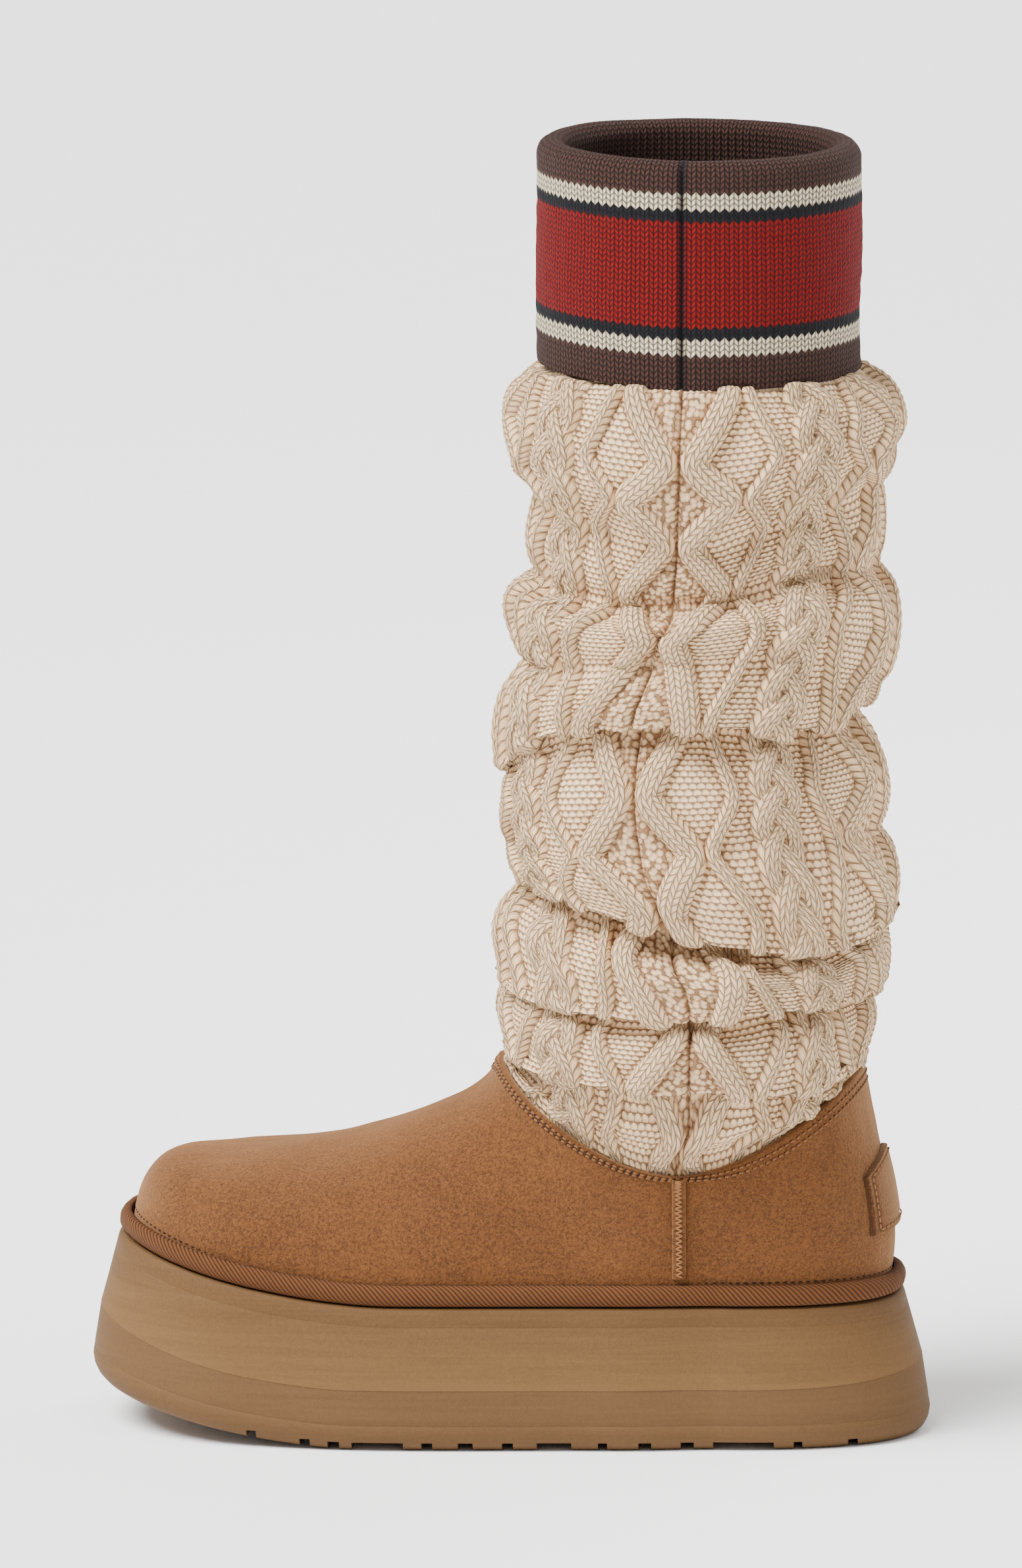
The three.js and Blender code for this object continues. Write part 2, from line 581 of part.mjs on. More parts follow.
function shaftColumn(angle) {
  const points = [];
  const top = CUFF_RADIUS - CUFF_WALL - FIT_GAP - 0.2;
  points.push(shaftPoint(angle, top, CUFF_BOTTOM + CUFF_LAP));
  points.push(shaftPoint(angle, top, CUFF_BOTTOM - 0.6));
  const edge = collarPoint(angle)[2];
  FOLDS.forEach((fold, k) => {
    const next = FOLDS[k + 1];
    const z = foldHeight(fold, angle);
    const below = next ? foldHeight(next, angle) : edge;
    const crease = foldRadius(fold, angle, "in");
    const swell = foldRadius(fold, angle, "out");
    const nextCrease = next ? foldRadius(next, angle, "in") : crease;
    const deep = z - below;
    if (k > 0) {
      points.push(shaftPoint(angle, crease, z + fold.tuck));
      points.push(shaftPoint(angle, lerp(crease, swell, 0.12), z - 0.03 * deep));
    } else {
      points.push(shaftPoint(angle, crease, CUFF_BOTTOM - 2));
    }
    points.push(shaftPoint(angle, lerp(crease, swell, 0.75), z - deep * fold.at * 0.5));
    points.push(shaftPoint(angle, swell, z - deep * fold.at));
    const lip = lerp(nextCrease, swell, 0.72);
    points.push(shaftPoint(angle, lerp(swell, lip, 0.45), z - deep * lerp(fold.at, 1, 0.55)));
    if (next) points.push(shaftPoint(angle, lip, below + (next.tuck > 0 ? 0.4 : 0.1 * deep)));
  });
  points.push(tuckPoint(angle, OUTSIDE - 0.9, -3.2));
  points.push(tuckPoint(angle, OUTSIDE, 0.5));
  points.push(tuckPoint(angle, OUTSIDE, LAP));
  return points;
}

// The inner face of the knit runs straight past the creases, without their tucks.
function shaftInside(angle) {
  const points = [];
  const top = CUFF_RADIUS - CUFF_WALL - FIT_GAP - 0.2 - KNIT_WALL;
  points.push(shaftPoint(angle, top, CUFF_BOTTOM + CUFF_LAP));
  points.push(shaftPoint(angle, top, CUFF_BOTTOM - 6));
  const edge = collarPoint(angle)[2];
  FOLDS.forEach((fold, k) => {
    const next = FOLDS[k + 1];
    const z = foldHeight(fold, angle);
    const below = next ? foldHeight(next, angle) : edge;
    const crease = foldRadius(fold, angle, "in") - KNIT_WALL;
    const swell = foldRadius(fold, angle, "out") - KNIT_WALL - 1;
    const deep = z - below;
    if (k > 0) {
      points.push(shaftPoint(angle, crease, z + fold.tuck * 0.5));
    }
    if (next) points.push(shaftPoint(angle, swell - 0.15 * (swell - crease), z - deep * Math.min(0.6, fold.at)));
  });
  points.push(tuckPoint(angle, OUTSIDE + KNIT_WALL, 0));
  points.push(tuckPoint(angle, OUTSIDE + KNIT_WALL, LAP));
  return points;
}

// The cable-knit shaft, one slouching tube with its folds.
function sweaterShaft() {
  const columns = [];
  const inside = [];
  for (let c = 0; c < SHAFT_COLUMN_COUNT; c++) {
    const angle = (2 * Math.PI * c) / SHAFT_COLUMN_COUNT;
    columns.push(shaftColumn(angle));
    inside.push(shaftInside(angle));
  }
  const rows = (list) => list[0].map((_, r) => list.map((points) => points[r]));
  return solidFromLoops([...rows(columns), ...rows(inside).reverse()], true);
}

// The striped cuff: a doubled band, thickest at its rolled rim. out counts from the outer face inwards as
// a share of the rim's thickness, up is a share of the cuff's height.
const CUFF_SECTION = [
  { inwards: 0, up: 0 },
  { inwards: -0.02, up: 0.25 },
  { inwards: 0, up: 0.6 },
  { inwards: 0, up: 0.9 },
  { inwards: 0.12, up: 0.965 },
  { inwards: 0.45, up: 1 },
  { inwards: 0.82, up: 0.975 },
  { inwards: 1, up: 0.91 },
  { inwards: 0.93, up: 0.8 },
  { inwards: 0.66, up: 0.5 },
];
function cuff() {
  const loop = (radius, z) => {
    const points = [];
    for (let c = 0; c < SHAFT_COLUMN_COUNT; c++) points.push(shaftPoint((2 * Math.PI * c) / SHAFT_COLUMN_COUNT, radius, z));
    return points;
  };
  const loops = CUFF_SECTION.map(({ inwards, up }) => loop(CUFF_RADIUS - inwards * CUFF_RIM, CUFF_BOTTOM + up * CUFF_HEIGHT));
  loops.push(loop(CUFF_RADIUS - CUFF_WALL, CUFF_BOTTOM + CUFF_LAP + 4));
  loops.push(loop(CUFF_RADIUS - CUFF_WALL, CUFF_BOTTOM));
  return solidFromLoops(loops, true);
}

// The boot, as the pieces that its maker puts together
const boot = new THREE.Group();
boot.name = "sweater_boot";
function add(name, geometry, finish) {
  const material = new THREE.MeshStandardMaterial({ ...FINISHES[finish], metalness: 0 });
  const mesh = new THREE.Mesh(geometry, material);
  mesh.name = name;
  boot.add(mesh);
}
add("outsole", outsole(), "tread");
add("midsole", midsole(), "foam");
add("insole", insole(), "fleece");
add("welt_binding", weltBinding(), "binding");
add("suede_upper", suedeUpper(), "suede");
add("side_seam_lateral", sideSeam(-1), "suede");
add("side_seam_medial", sideSeam(1), "suede");
add("heel_patch", heelPatch(), "suede");
add("sweater_shaft", sweaterShaft(), "cream");
add("cuff", cuff(), "brown");

export default boot;
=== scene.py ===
# A left pull-on platform boot: suede foot, slouching cable-knit shaft and striped knit cuff.
# Lengths are in millimetres and become metres when a mesh is made. The toe points to -X, the outer side
# to -Y, and the ground is z = 0. Angles run from the toe round the outer side to the heel.
import math

import bmesh
import bpy
import numpy as np
from mathutils import Euler, Matrix, Vector


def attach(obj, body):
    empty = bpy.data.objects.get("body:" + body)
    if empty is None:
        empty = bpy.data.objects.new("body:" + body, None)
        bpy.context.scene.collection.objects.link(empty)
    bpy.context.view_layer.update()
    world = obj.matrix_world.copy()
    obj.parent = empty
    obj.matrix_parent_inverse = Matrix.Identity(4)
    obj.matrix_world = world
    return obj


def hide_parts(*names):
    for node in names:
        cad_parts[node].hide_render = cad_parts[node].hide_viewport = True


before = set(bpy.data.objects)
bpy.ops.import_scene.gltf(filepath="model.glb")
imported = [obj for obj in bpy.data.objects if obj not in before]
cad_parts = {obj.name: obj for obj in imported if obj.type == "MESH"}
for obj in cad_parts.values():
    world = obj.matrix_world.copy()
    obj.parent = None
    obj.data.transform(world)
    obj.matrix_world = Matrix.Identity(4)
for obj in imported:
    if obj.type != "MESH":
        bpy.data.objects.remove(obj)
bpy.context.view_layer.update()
MM = 0.001

# Foot and platform
TOE_X = -127.5
BALL_HALF_WIDTH = 47
HEEL_HALF_WIDTH = 36.5
SUEDE_WALL = 2.6
FIT_GAP = 0.3
PLATFORM_HEIGHT = 47.5
LAYER_HEIGHT = 20.5
LAYER_RISE = 4
TOE_SPRING = 15.5
TOP_SPRING = 16.5
SPRING_START_X = -50
TOP_SPRING_START_X = -36
SOLE_END_X = 140
TOP_LEDGE = 4.4
FLARE_ENDS = 13.6
FLARE_SIDES = 9.5
WIDEST_HEIGHT = 6.5
TREAD_INSET = 5
GROOVE_DEPTH = 3
CENTRE_BAR = 34
WELT_HEIGHT = 7
WELT_DEPTH = 3.8
INSOLE_THICKNESS = 5
SEAM_X = 59.5
SEAM_WIDTH = 4.6
SEAM_THICKNESS = 1.4
PATCH_THICKNESS = 1.7
PATCH_HEIGHT = 26
PATCH_END_HEIGHT = 21.5
PATCH_MIDDLE_Z = 82.4
PATCH_HALF_LENGTH = 21.5
PATCH_DROP = 1.7
INSTEP_HEIGHT = 70
FOOT_FORWARD = 170
TOE_ROUND = 46
TOE_ROUND_UP = 24
SHANK_PAST = 22
SHANK_ROUND = 46
BLEND = 12

# Collar line, shaft and cuff
LEG_X = 58
ANKLE_REACH = 60.5
COUNTER_SWELL = 1.165
COLLAR_LOW = 91.5
COLLAR_RISE = 31.5
LAP = 9
KNIT_WALL = 3
SHAFT_X = 62.5
CUFF_BOTTOM = 358.5
CUFF_HEIGHT = 75
CUFF_RADIUS = 53.6
CUFF_WALL = 5
CUFF_RIM = 10.5
CUFF_LAP = 9
KNIT_INSIDE_SUEDE = SUEDE_WALL + FIT_GAP + 0.4
SUEDE_TALL = COLLAR_LOW + COLLAR_RISE - PLATFORM_HEIGHT
HEEL_X = LEG_X + ANKLE_REACH * COUNTER_SWELL
FEATHER_REACH = (HEEL_X - TOE_X) / 2 - BALL_HALF_WIDTH

FOOT_SECTIONS = [
    {"at": 0.0, "lateral": 0.86, "medial": 0.96, "crest": 0.515},
    {"at": 0.1, "lateral": 0.9, "medial": 0.98, "crest": 0.53},
    {"at": 0.2, "lateral": 0.94, "medial": 1.0, "crest": 0.574},
    {"at": 0.33, "lateral": 0.985, "medial": 0.995, "crest": 0.645},
    {"at": 0.45, "lateral": 1.01, "medial": 0.97, "crest": 0.718},
    {"at": 0.58, "lateral": 1.0, "medial": 0.93, "crest": 0.833},
    {"at": 0.73, "lateral": 0.955, "medial": 0.88, "crest": 0.985},
    {"at": 0.9, "lateral": 0.89, "medial": 0.83, "crest": 1.1},
    {"at": 1.1, "lateral": 0.8, "medial": 0.77, "crest": 1.2},
]
ANKLE_SECTIONS = [
    {"up": 0, "back": 1.149, "front": 0.926, "half": 1.0, "square": 2.5},
    {"up": 0.238, "back": 1.177, "front": 0.926, "half": 1.04, "square": 2.45},
    {"up": 0.45, "back": 1.147, "front": 0.934, "half": 1.08, "square": 2.4},
    {"up": 0.689, "back": 1.078, "front": 0.959, "half": 1.15, "square": 2.3},
    {"up": 1.007, "back": 1.005, "front": 1.0, "half": 1.29, "square": 2.1},
    {"up": 1.457, "back": 0.992, "front": 1.0, "half": 1.42, "square": 2.0},
]
WIDE_GROOVE = 8  # grooves wider than this leave a bar along the sole's middle
GROOVES = [
    {"at": -0.588, "width": 3.3},
    {"at": -0.459, "width": 3.5},
    {"at": -0.39, "width": 3.9},
    {"at": -0.285, "width": 17.2},
    {"at": -0.167, "width": 3.7},
    {"at": -0.076, "width": 5},
    {"at": 0.024, "width": 3.7},
    {"at": 0.134, "width": 11.5},
    {"at": 0.249, "width": 3.1},
    {"at": 0.349, "width": 4.3},
    {"at": 0.449, "width": 4.4},
    {"at": 0.582, "width": 20.2},
    {"at": 0.711, "width": 2.9},
    {"at": 0.839, "width": 3.2},
]
# Each fold: its crease's height at five places round the shaft, as a share of the shaft's height; the
# crease's and the swell's radius at the front, side and back, as shares of the cuff's radius; where the
# swell is; how far the crease hides behind the lip above it, in millimetres; and how far out that lip
# stands, from the crease to the swell above it.
FOLDS = [
    {"heights": (1.012, 1.004, 0.998, 1.002, 1.005), "crease": (0.985, 0.985, 0.985),
     "swell": (1.18, 1.165, 1.25), "at": 0.45, "tuck": 0, "lip": 0.3},
    {"heights": (0.84, 0.815, 0.79, 0.83, 0.855), "crease": (1.0, 1.02, 1.12),
     "swell": (1.05, 1.03, 1.165), "at": 0.5, "tuck": 0, "lip": 0.3},
    {"heights": (0.742, 0.727, 0.722, 0.756, 0.748), "crease": (1.0, 0.975, 1.105),
     "swell": (1.175, 1.21, 1.235), "at": 0.34, "tuck": 0, "lip": 0.1},
    {"heights": (0.626, 0.64, 0.66, 0.657, 0.618), "crease": (1.06, 1.17, 1.17),
     "swell": (1.25, 1.235, 1.1), "at": 0.62, "tuck": 0, "lip": 0.4},
    {"heights": (0.485, 0.553, 0.573, 0.56, 0.577), "crease": (1.155, 1.02, 0.925),
     "swell": (1.23, 1.18, 1.185), "at": 0.58, "tuck": 3, "lip": 0.72},
    {"heights": (0.405, 0.415, 0.428, 0.436, 0.42), "crease": (1.18, 1.165, 1.125),
     "swell": (1.17, 1.225, 1.25), "at": 0.55, "tuck": 0, "lip": 0.45},
    {"heights": (0.357, 0.346, 0.309, 0.285, 0.307), "crease": (1.06, 0.93, 1.165),
     "swell": (1.25, 1.23, 1.19), "at": 0.45, "tuck": 6, "lip": 0.75},
    {"heights": (0.222, 0.212, 0.207, 0.217, 0.212), "crease": (1.18, 1.02, 1.02),
     "swell": (1.23, 1.165, 1.09), "at": 0.45, "tuck": 4, "lip": 0.72},
    {"heights": (0.13, 0.12, 0.113, 0.108, 0.13), "crease": (1.165, 0.985, 1.03),
     "swell": (1.14, 0.95, 1.06), "at": 0.5, "tuck": 3, "lip": 0.7},
]


# Small helpers

def lerp(a, b, t):
    return a + (b - a) * t


def bell(far, width):
    """1 at 0, falling away smoothly over a width."""
    return np.exp(-((far / width) ** 2))


def unit(vectors):
    return vectors / (np.linalg.norm(vectors, axis=-1, keepdims=True) + 1e-9)


def steps(points):
    """Distances from each row of points to the next."""
    return np.linalg.norm(np.diff(points, axis=0), axis=-1)


def running(distances):
    """How far along each point is, from the distances between them."""
    return np.concatenate([[0], np.cumsum(distances)])


def turns(count):
    """Even angles once round."""
    return np.arange(count) * 2 * math.pi / count


def smooth(t):
    t = np.clip(t, 0, 1)
    return t * t * (3 - 2 * t)


def column(table, key, place, name):
    """A column of a table of sections at any place, as a smooth curve through its rows."""
    keys = np.array([row[key] for row in table], float)
    values = np.array([row[name] for row in table], float)
    return smooth_curve(keys, values, place)


def smooth_curve(keys, values, place):
    place = np.clip(place, keys[0], keys[-1])
    i = np.clip(np.searchsorted(keys, place, side="right") - 1, 0, len(keys) - 2)
    after = np.append(np.arange(1, len(keys)), len(keys) - 1)
    before = np.maximum(np.arange(len(keys)) - 1, 0)
    slope = (values[after] - values[before]) / (keys[after] - keys[before])
    step = keys[i + 1] - keys[i]
    t = (place - keys[i]) / step
    h = 3 * t * t - 2 * t**3
    bend = (t**3 - 2 * t * t + t) * slope[i] + (t**3 - t * t) * slope[i + 1]
    return lerp(values[i], values[i + 1], h) + bend * step


def round_end(t, power):
    """How much of full size is left, t short of an end that rounds off."""
    return (1 - np.clip(t, 0, 0.9999) ** power) ** (1 / power)


WAVE_COUNT = 7


def waves(points, scale, seed):
    """Soft, seeded unevenness between about -1 and 1 at points of shape (..., 3)."""
    random = np.random.default_rng(seed)
    total = np.zeros(points.shape[:-1])
    for _ in range(WAVE_COUNT):
        way = random.normal(size=3)
        way *= 2 * math.pi / scale * random.uniform(0.6, 1.5) / np.linalg.norm(way)
        total += np.sin(points @ way + random.uniform(0, 6.3))
    return total * 2 / WAVE_COUNT


# The foot's form

def top_spring(x):
    return TOP_SPRING * np.clip((TOP_SPRING_START_X - x) / (TOP_SPRING_START_X - TOE_X), 0, 1) ** 1.75


def tread_spring(x):
    return TOE_SPRING * np.clip((SPRING_START_X - x) / (SPRING_START_X + SOLE_END_X), 0, 1) ** 1.6


def feather(x):
    return PLATFORM_HEIGHT + top_spring(x) + FIT_GAP


SECTION_POWER = 2.35
TOE_POWER = 2.3
TOE_TOP_POWER = 2.5
RAY_STEP = 2.0
RAY_END = 160


def last(p):
    """Below 0 inside the foot's form, above 0 outside it."""
    x, y, z = p[..., 0], p[..., 1], p[..., 2]
    at = (x - TOE_X) / FOOT_FORWARD
    names = ("lateral", "medial", "crest")
    lateral, medial, crest = (column(FOOT_SECTIONS, "at", at, name) for name in names)
    toe = round_end((TOE_X + TOE_ROUND - x) / TOE_ROUND, TOE_POWER)
    shank = round_end((x - (LEG_X + SHANK_PAST - SHANK_ROUND)) / SHANK_ROUND, TOE_POWER)
    half = np.maximum(0.5, BALL_HALF_WIDTH * np.where(y < 0, lateral, medial) * toe * shank)
    rise = round_end((TOE_X + TOE_ROUND_UP - x) / TOE_ROUND_UP, TOE_TOP_POWER)
    arch = np.maximum(0.5, INSTEP_HEIGHT * crest * rise)
    high = np.maximum(0, z - PLATFORM_HEIGHT - top_spring(x) * 0.65) / arch
    foot = ((np.abs(y) / half) ** SECTION_POWER + high**SECTION_POWER) ** (1 / SECTION_POWER) - 1
    over = (z - PLATFORM_HEIGHT) / SUEDE_TALL
    names = ("back", "front", "half", "square")
    back, front, wide, square = (column(ANKLE_SECTIONS, "up", over, name) for name in names)
    middle = LEG_X + ANKLE_REACH * (back - front) / 2
    long = ANKLE_REACH * (back + front) / 2
    wide = HEEL_HALF_WIDTH * wide
    ankle = ((np.abs(x - middle) / long) ** square + (np.abs(y) / wide) ** square) ** (1 / square) - 1
    a = np.maximum(np.maximum(foot * np.minimum(half, arch), TOE_X - x), x - (LEG_X + SHANK_PAST))
    b = ankle * wide
    h = np.clip(BLEND - np.abs(a - b), 0, None) / BLEND
    return np.minimum(a, b) - h * h * BLEND / 4


def leave(start, way):
    """Where rays from inside the form leave it."""
    way = unit(way)
    near = np.zeros(start.shape[:-1])
    inside = np.ones(start.shape[:-1], bool)
    for far in np.arange(RAY_STEP, RAY_END, RAY_STEP):
        inside &= last(start + way * far) < 0
        near = np.where(inside, far, near)
        if not inside.any():
            break
    far = near + RAY_STEP
    for _ in range(18):
        middle = (near + far) / 2
        within = last(start + way * middle[..., None]) < 0
        near = np.where(within, middle, near)
        far = np.where(within, far, middle)
    return start + way * far[..., None]


def collar(x):
    return COLLAR_LOW + COLLAR_RISE * np.minimum(1.05, np.abs((x - LEG_X) / ANKLE_REACH) ** 1.75)


def on_middle(x, z):
    return np.stack([x, np.zeros_like(x), z], -1)


def feather_from(angle):
    return (TOE_X + HEEL_X) / 2 - FEATHER_REACH * np.cos(angle)


def edge_points(angle, x, z, height_at, tries, share):
    """Points of the form's face whose height depends on their own x, found by repeated rays outwards."""
    outwards = np.stack([-np.cos(angle), -np.sin(angle), np.zeros_like(angle)], -1)
    for _ in range(tries):
        p = leave(on_middle(x, z), outwards)
        z = lerp(z, height_at(p[..., 0]), share)
    p[..., 2] = z
    return p


def collar_points(angle):
    x = np.full_like(angle, LEG_X)
    return edge_points(angle, x, np.full_like(angle, COLLAR_LOW + COLLAR_RISE / 2), collar, 12, 0.7)


def even_rows(points, rows):
    """Points of shape (rows, columns, 3), spaced evenly again along each column."""
    out = np.empty((rows, points.shape[1], 3))
    for c, line in enumerate(points.swapaxes(0, 1)):
        along = running(steps(line))
        want = np.linspace(0, along[-1], rows)
        for i in range(3):
            out[:, c, i] = np.interp(want, along, line[:, i])
    return out


SKIN_COLUMNS = 420
SKIN_ROWS = 60
AIM_LIFT = 22  # how much higher the rays over the instep aim than a straight line


def make_skin():
    """The suede's face from the platform to the collar line."""
    angle = turns(SKIN_COLUMNS)
    from_x = feather_from(angle)
    low = edge_points(angle, from_x, feather(from_x), feather, 5, 1.0)
    high = collar_points(angle)
    rows = [low]
    for t in np.arange(1, SKIN_ROWS) / SKIN_ROWS:
        along = smooth(t)
        start = on_middle(lerp(from_x, LEG_X, along), lerp(feather(from_x) + 1, high[:, 2] - 4, along))
        aim = lerp(low, high, t)
        aim[:, 2] += AIM_LIFT * math.sin(math.pi * t) * (0.5 + 0.5 * np.cos(angle))
        rows.append(leave(start, aim - start))
    return even_rows(np.array(rows + [high]), SKIN_ROWS + 1)


skin_grid = make_skin()


def grid_normals(grid):
    """Outward normals of a (rows, columns, 3) grid whose columns run round, up its rows."""
    around = np.roll(grid, -1, axis=1) - np.roll(grid, 1, axis=1)
    return unit(np.cross(around, np.gradient(grid, axis=0)))


skin_normals = grid_normals(skin_grid)


def on_grid(grid, angle, share):
    """A grid whose columns run round, read at any angle and any share of its rows."""
    rows, columns = grid.shape[:2]
    c = (angle / (2 * math.pi) * columns) % columns
    r = np.clip(share, 0, 1) * (rows - 1)
    c0 = np.floor(c).astype(int) % columns
    r0 = np.minimum(np.floor(r).astype(int), rows - 2)
    c1 = (c0 + 1) % columns
    past = (c - np.floor(c))[..., None]
    return lerp(lerp(grid[r0, c0], grid[r0, c1], past), lerp(grid[r0 + 1, c0], grid[r0 + 1, c1], past),
                (r - r0)[..., None])


def skin(angle, share, lift=0.0):
    normal = on_grid(skin_normals, angle, share)
    return on_grid(skin_grid, angle, share) + normal * np.asarray(lift)[..., None]


def angle_where(share, axis, value, start, end):
    """The angle between two others at which the skin passes a value of x (axis 0) or y (axis 1)."""
    near = np.full(np.shape(value), float(start))
    far = np.full(np.shape(value), float(end))
    rising = on_grid(skin_grid, far, share)[..., axis] > on_grid(skin_grid, near, share)[..., axis]
    for _ in range(26):
        middle = (near + far) / 2
        first = (on_grid(skin_grid, middle, share)[..., axis] < value) == rising
        near, far = np.where(first, middle, near), np.where(first, far, middle)
    return near


# Meshes

def add_object(name, data):
    item = bpy.data.objects.new(name, data)
    bpy.context.scene.collection.objects.link(item)
    return item


def add_mesh(name, verts, faces, uv=None):
    """verts in millimetres, faces as an array of quads or a list; uv is one pair per vertex."""
    mesh = bpy.data.meshes.new(name)
    verts = np.asarray(verts).reshape(-1, 3) * MM
    mesh.from_pydata(verts.tolist(), [], faces.tolist() if hasattr(faces, "tolist") else faces)
    if uv is not None:
        corner = np.empty(len(mesh.loops), np.int32)
        mesh.loops.foreach_get("vertex_index", corner)
        pairs = np.asarray(uv, np.float32).reshape(-1, 2)[corner]
        mesh.uv_layers.new(name="stitch").data.foreach_set("uv", pairs.ravel())
    mesh.update()
    mesh.shade_smooth()
    return add_object(name, mesh)


def grid_faces(rows, columns, wrap_columns, wrap_rows=False, start=0):
    r = np.arange(rows if wrap_rows else rows - 1)
    c = np.arange(columns if wrap_columns else columns - 1)
    r, c = np.meshgrid(r, c, indexing="ij")
    r1, c1 = (r + 1) % rows, (c + 1) % columns
    quads = np.stack([r * columns + c, r * columns + c1, r1 * columns + c1, r1 * columns + c], -1)
    return quads.reshape(-1, 4) + start


def add_field(piece, name, values):
    """A number at each vertex that a material reads by name."""
    field = piece.data.attributes.new(name, "FLOAT", "POINT")
    field.data.foreach_set("value", np.ascontiguousarray(values, np.float32).ravel())


def add_grid(name, grid, wrap_columns=True, wrap_rows=False, uv=None, flip=False):
    faces = grid_faces(*grid.shape[:2], wrap_columns, wrap_rows)
    return add_mesh(name, grid, faces[:, ::-1] if flip else faces, uv)


def dress(piece, material, slot, *nodes):
    """Gives a piece its material and hides the nodes that it stands for. The slot argument is not used."""
    piece.data.materials.clear()
    piece.data.materials.append(material)
    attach(piece, "root")
    if nodes:
        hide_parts(*nodes)


def sharpen(piece, degrees):
    piece.data.set_sharp_from_angle(angle=math.radians(degrees))


# Materials

class Nodes:
    """A material's node tree, with formulas written as plain arithmetic."""

    def __init__(self, name):
        self.material = bpy.data.materials.new(name)
        self.material.use_nodes = True
        self.tree = self.material.node_tree

    def feed(self, node, inputs):
        """Gives a node's inputs, by name or number, a number, a colour or another node's output."""
        for key, value in inputs.items():
            socket = node.inputs[key]
            if isinstance(value, Value):
                self.tree.links.new(value.socket, socket)
            elif isinstance(value, tuple) and len(socket.default_value) == 4:
                socket.default_value = (*value, 1.0)
            else:
                socket.default_value = value

    def node(self, kind, inputs, output=0, **settings):
        """The output of a new node."""
        node = self.tree.nodes.new(kind)
        for key, value in settings.items():
            setattr(node, key, value)
        self.feed(node, inputs)
        return Value(self, node.outputs[output])

    def math(self, operation, *values):
        return self.node("ShaderNodeMath", dict(enumerate(values)), operation=operation)

    def mix(self, share, first, second):
        return self.node("ShaderNodeMix", {0: share, 6: first, 7: second}, 2, data_type="RGBA")

    def noise(self, scale, detail=2.0, vector=None, roughness=0.5):
        """Noise whose scale counts waves to a millimetre of the object."""
        inputs = {"Scale": scale / MM, "Detail": detail, "Roughness": roughness}
        return self.node("ShaderNodeTexNoise", inputs | {"Vector": vector or self.place()}, "Fac")

    def pebbles(self, u, v):
        """Rounded bumps, one in each unit square or so of u and v, out of line."""
        cells = {"Vector": self.node("ShaderNodeCombineXYZ", {0: u, 1: v}), "Scale": 1.0, "Randomness": 0.75}
        far = self.node("ShaderNodeTexVoronoi", cells, "Distance", voronoi_dimensions="2D")
        return (1.0 - 2.5 * far * far).root()

    def place(self):
        return self.node("ShaderNodeTexCoord", {}, "Object")

    def stretch(self, x, y, z):
        return self.node("ShaderNodeMapping", {"Vector": self.place(), "Scale": (x, y, z)})

    def stitch(self):
        """The mesh's own stitch counts, across and along."""
        counts = {0: self.node("ShaderNodeUVMap", {}, uv_map="stitch")}
        return [self.node("ShaderNodeSeparateXYZ", counts, axis) for axis in (0, 1)]

    def field(self, name):
        return self.node("ShaderNodeAttribute", {}, "Fac", attribute_name=name)

    def bands(self, value, stops):
        """Bands of plain colour, each from its stop to the next."""
        node = self.tree.nodes.new("ShaderNodeValToRGB")
        node.color_ramp.interpolation = "CONSTANT"
        elements = node.color_ramp.elements
        while len(elements) < len(stops):
            elements.new(0.5)
        for element, (place, colour) in zip(elements, stops):
            element.position = place
            element.color = (*colour, 1.0)
        self.feed(node, {0: value})
        return Value(self, node.outputs[0])

    def bump(self, height, distance, under=None):
        """A bump whose height of 1 stands for distance millimetres, over another bump."""
        inputs = {"Distance": distance * MM, "Height": height}
        if under is not None:
            inputs["Normal"] = under
        return self.node("ShaderNodeBump", inputs)

    def finish(self, colour, roughness, normal=None, sheen=0.0, sheen_tint=(1, 1, 1)):
        inputs = {"Base Color": colour, "Roughness": roughness, "Specular IOR Level": 0.25}
        inputs |= {"Sheen Weight": sheen, "Sheen Roughness": 0.5, "Sheen Tint": sheen_tint}
        if normal is not None:
            inputs["Normal"] = normal
        self.feed(self.tree.nodes["Principled BSDF"], inputs)
        return self.material


class Value:
    """An output socket that takes part in arithmetic."""

    def __init__(self, nodes, socket):
        self.nodes = nodes
        self.socket = socket

    def __add__(self, other):
        return self.nodes.math("ADD", self, other)

    def __radd__(self, other):
        return self.nodes.math("ADD", other, self)

    def __sub__(self, other):
        return self.nodes.math("SUBTRACT", self, other)

    def __rsub__(self, other):
        return self.nodes.math("SUBTRACT", other, self)

    def __mul__(self, other):
        return self.nodes.math("MULTIPLY", self, other)

    def __rmul__(self, other):
        return self.nodes.math("MULTIPLY", other, self)

    def __pow__(self, other):
        return self.nodes.math("POWER", self, other)

    def wrapped(self):
        return self.nodes.math("FRACT", self)

    def whole(self):
        return self.nodes.math("FLOOR", self)

    def clipped(self):
        return self.nodes.math("MAXIMUM", self.nodes.math("MINIMUM", self, 1.0), 0.0)

    def root(self):
        return self.nodes.math("SQRT", self.nodes.math("MAXIMUM", self, 0.0))


def hump(value):
    """0 at whole numbers, 1 halfway between them."""
    side = 2 * value.wrapped() - 1
    return 1 - side * side


def loose_stitch(nodes, scale, across, along):
    """The stitch counts, wandering by up to about half of these shares of a stitch."""
    u, v = nodes.stitch()
    wander = nodes.noise(scale, 1.0) - 0.5
    return u + wander * across, v + wander * along


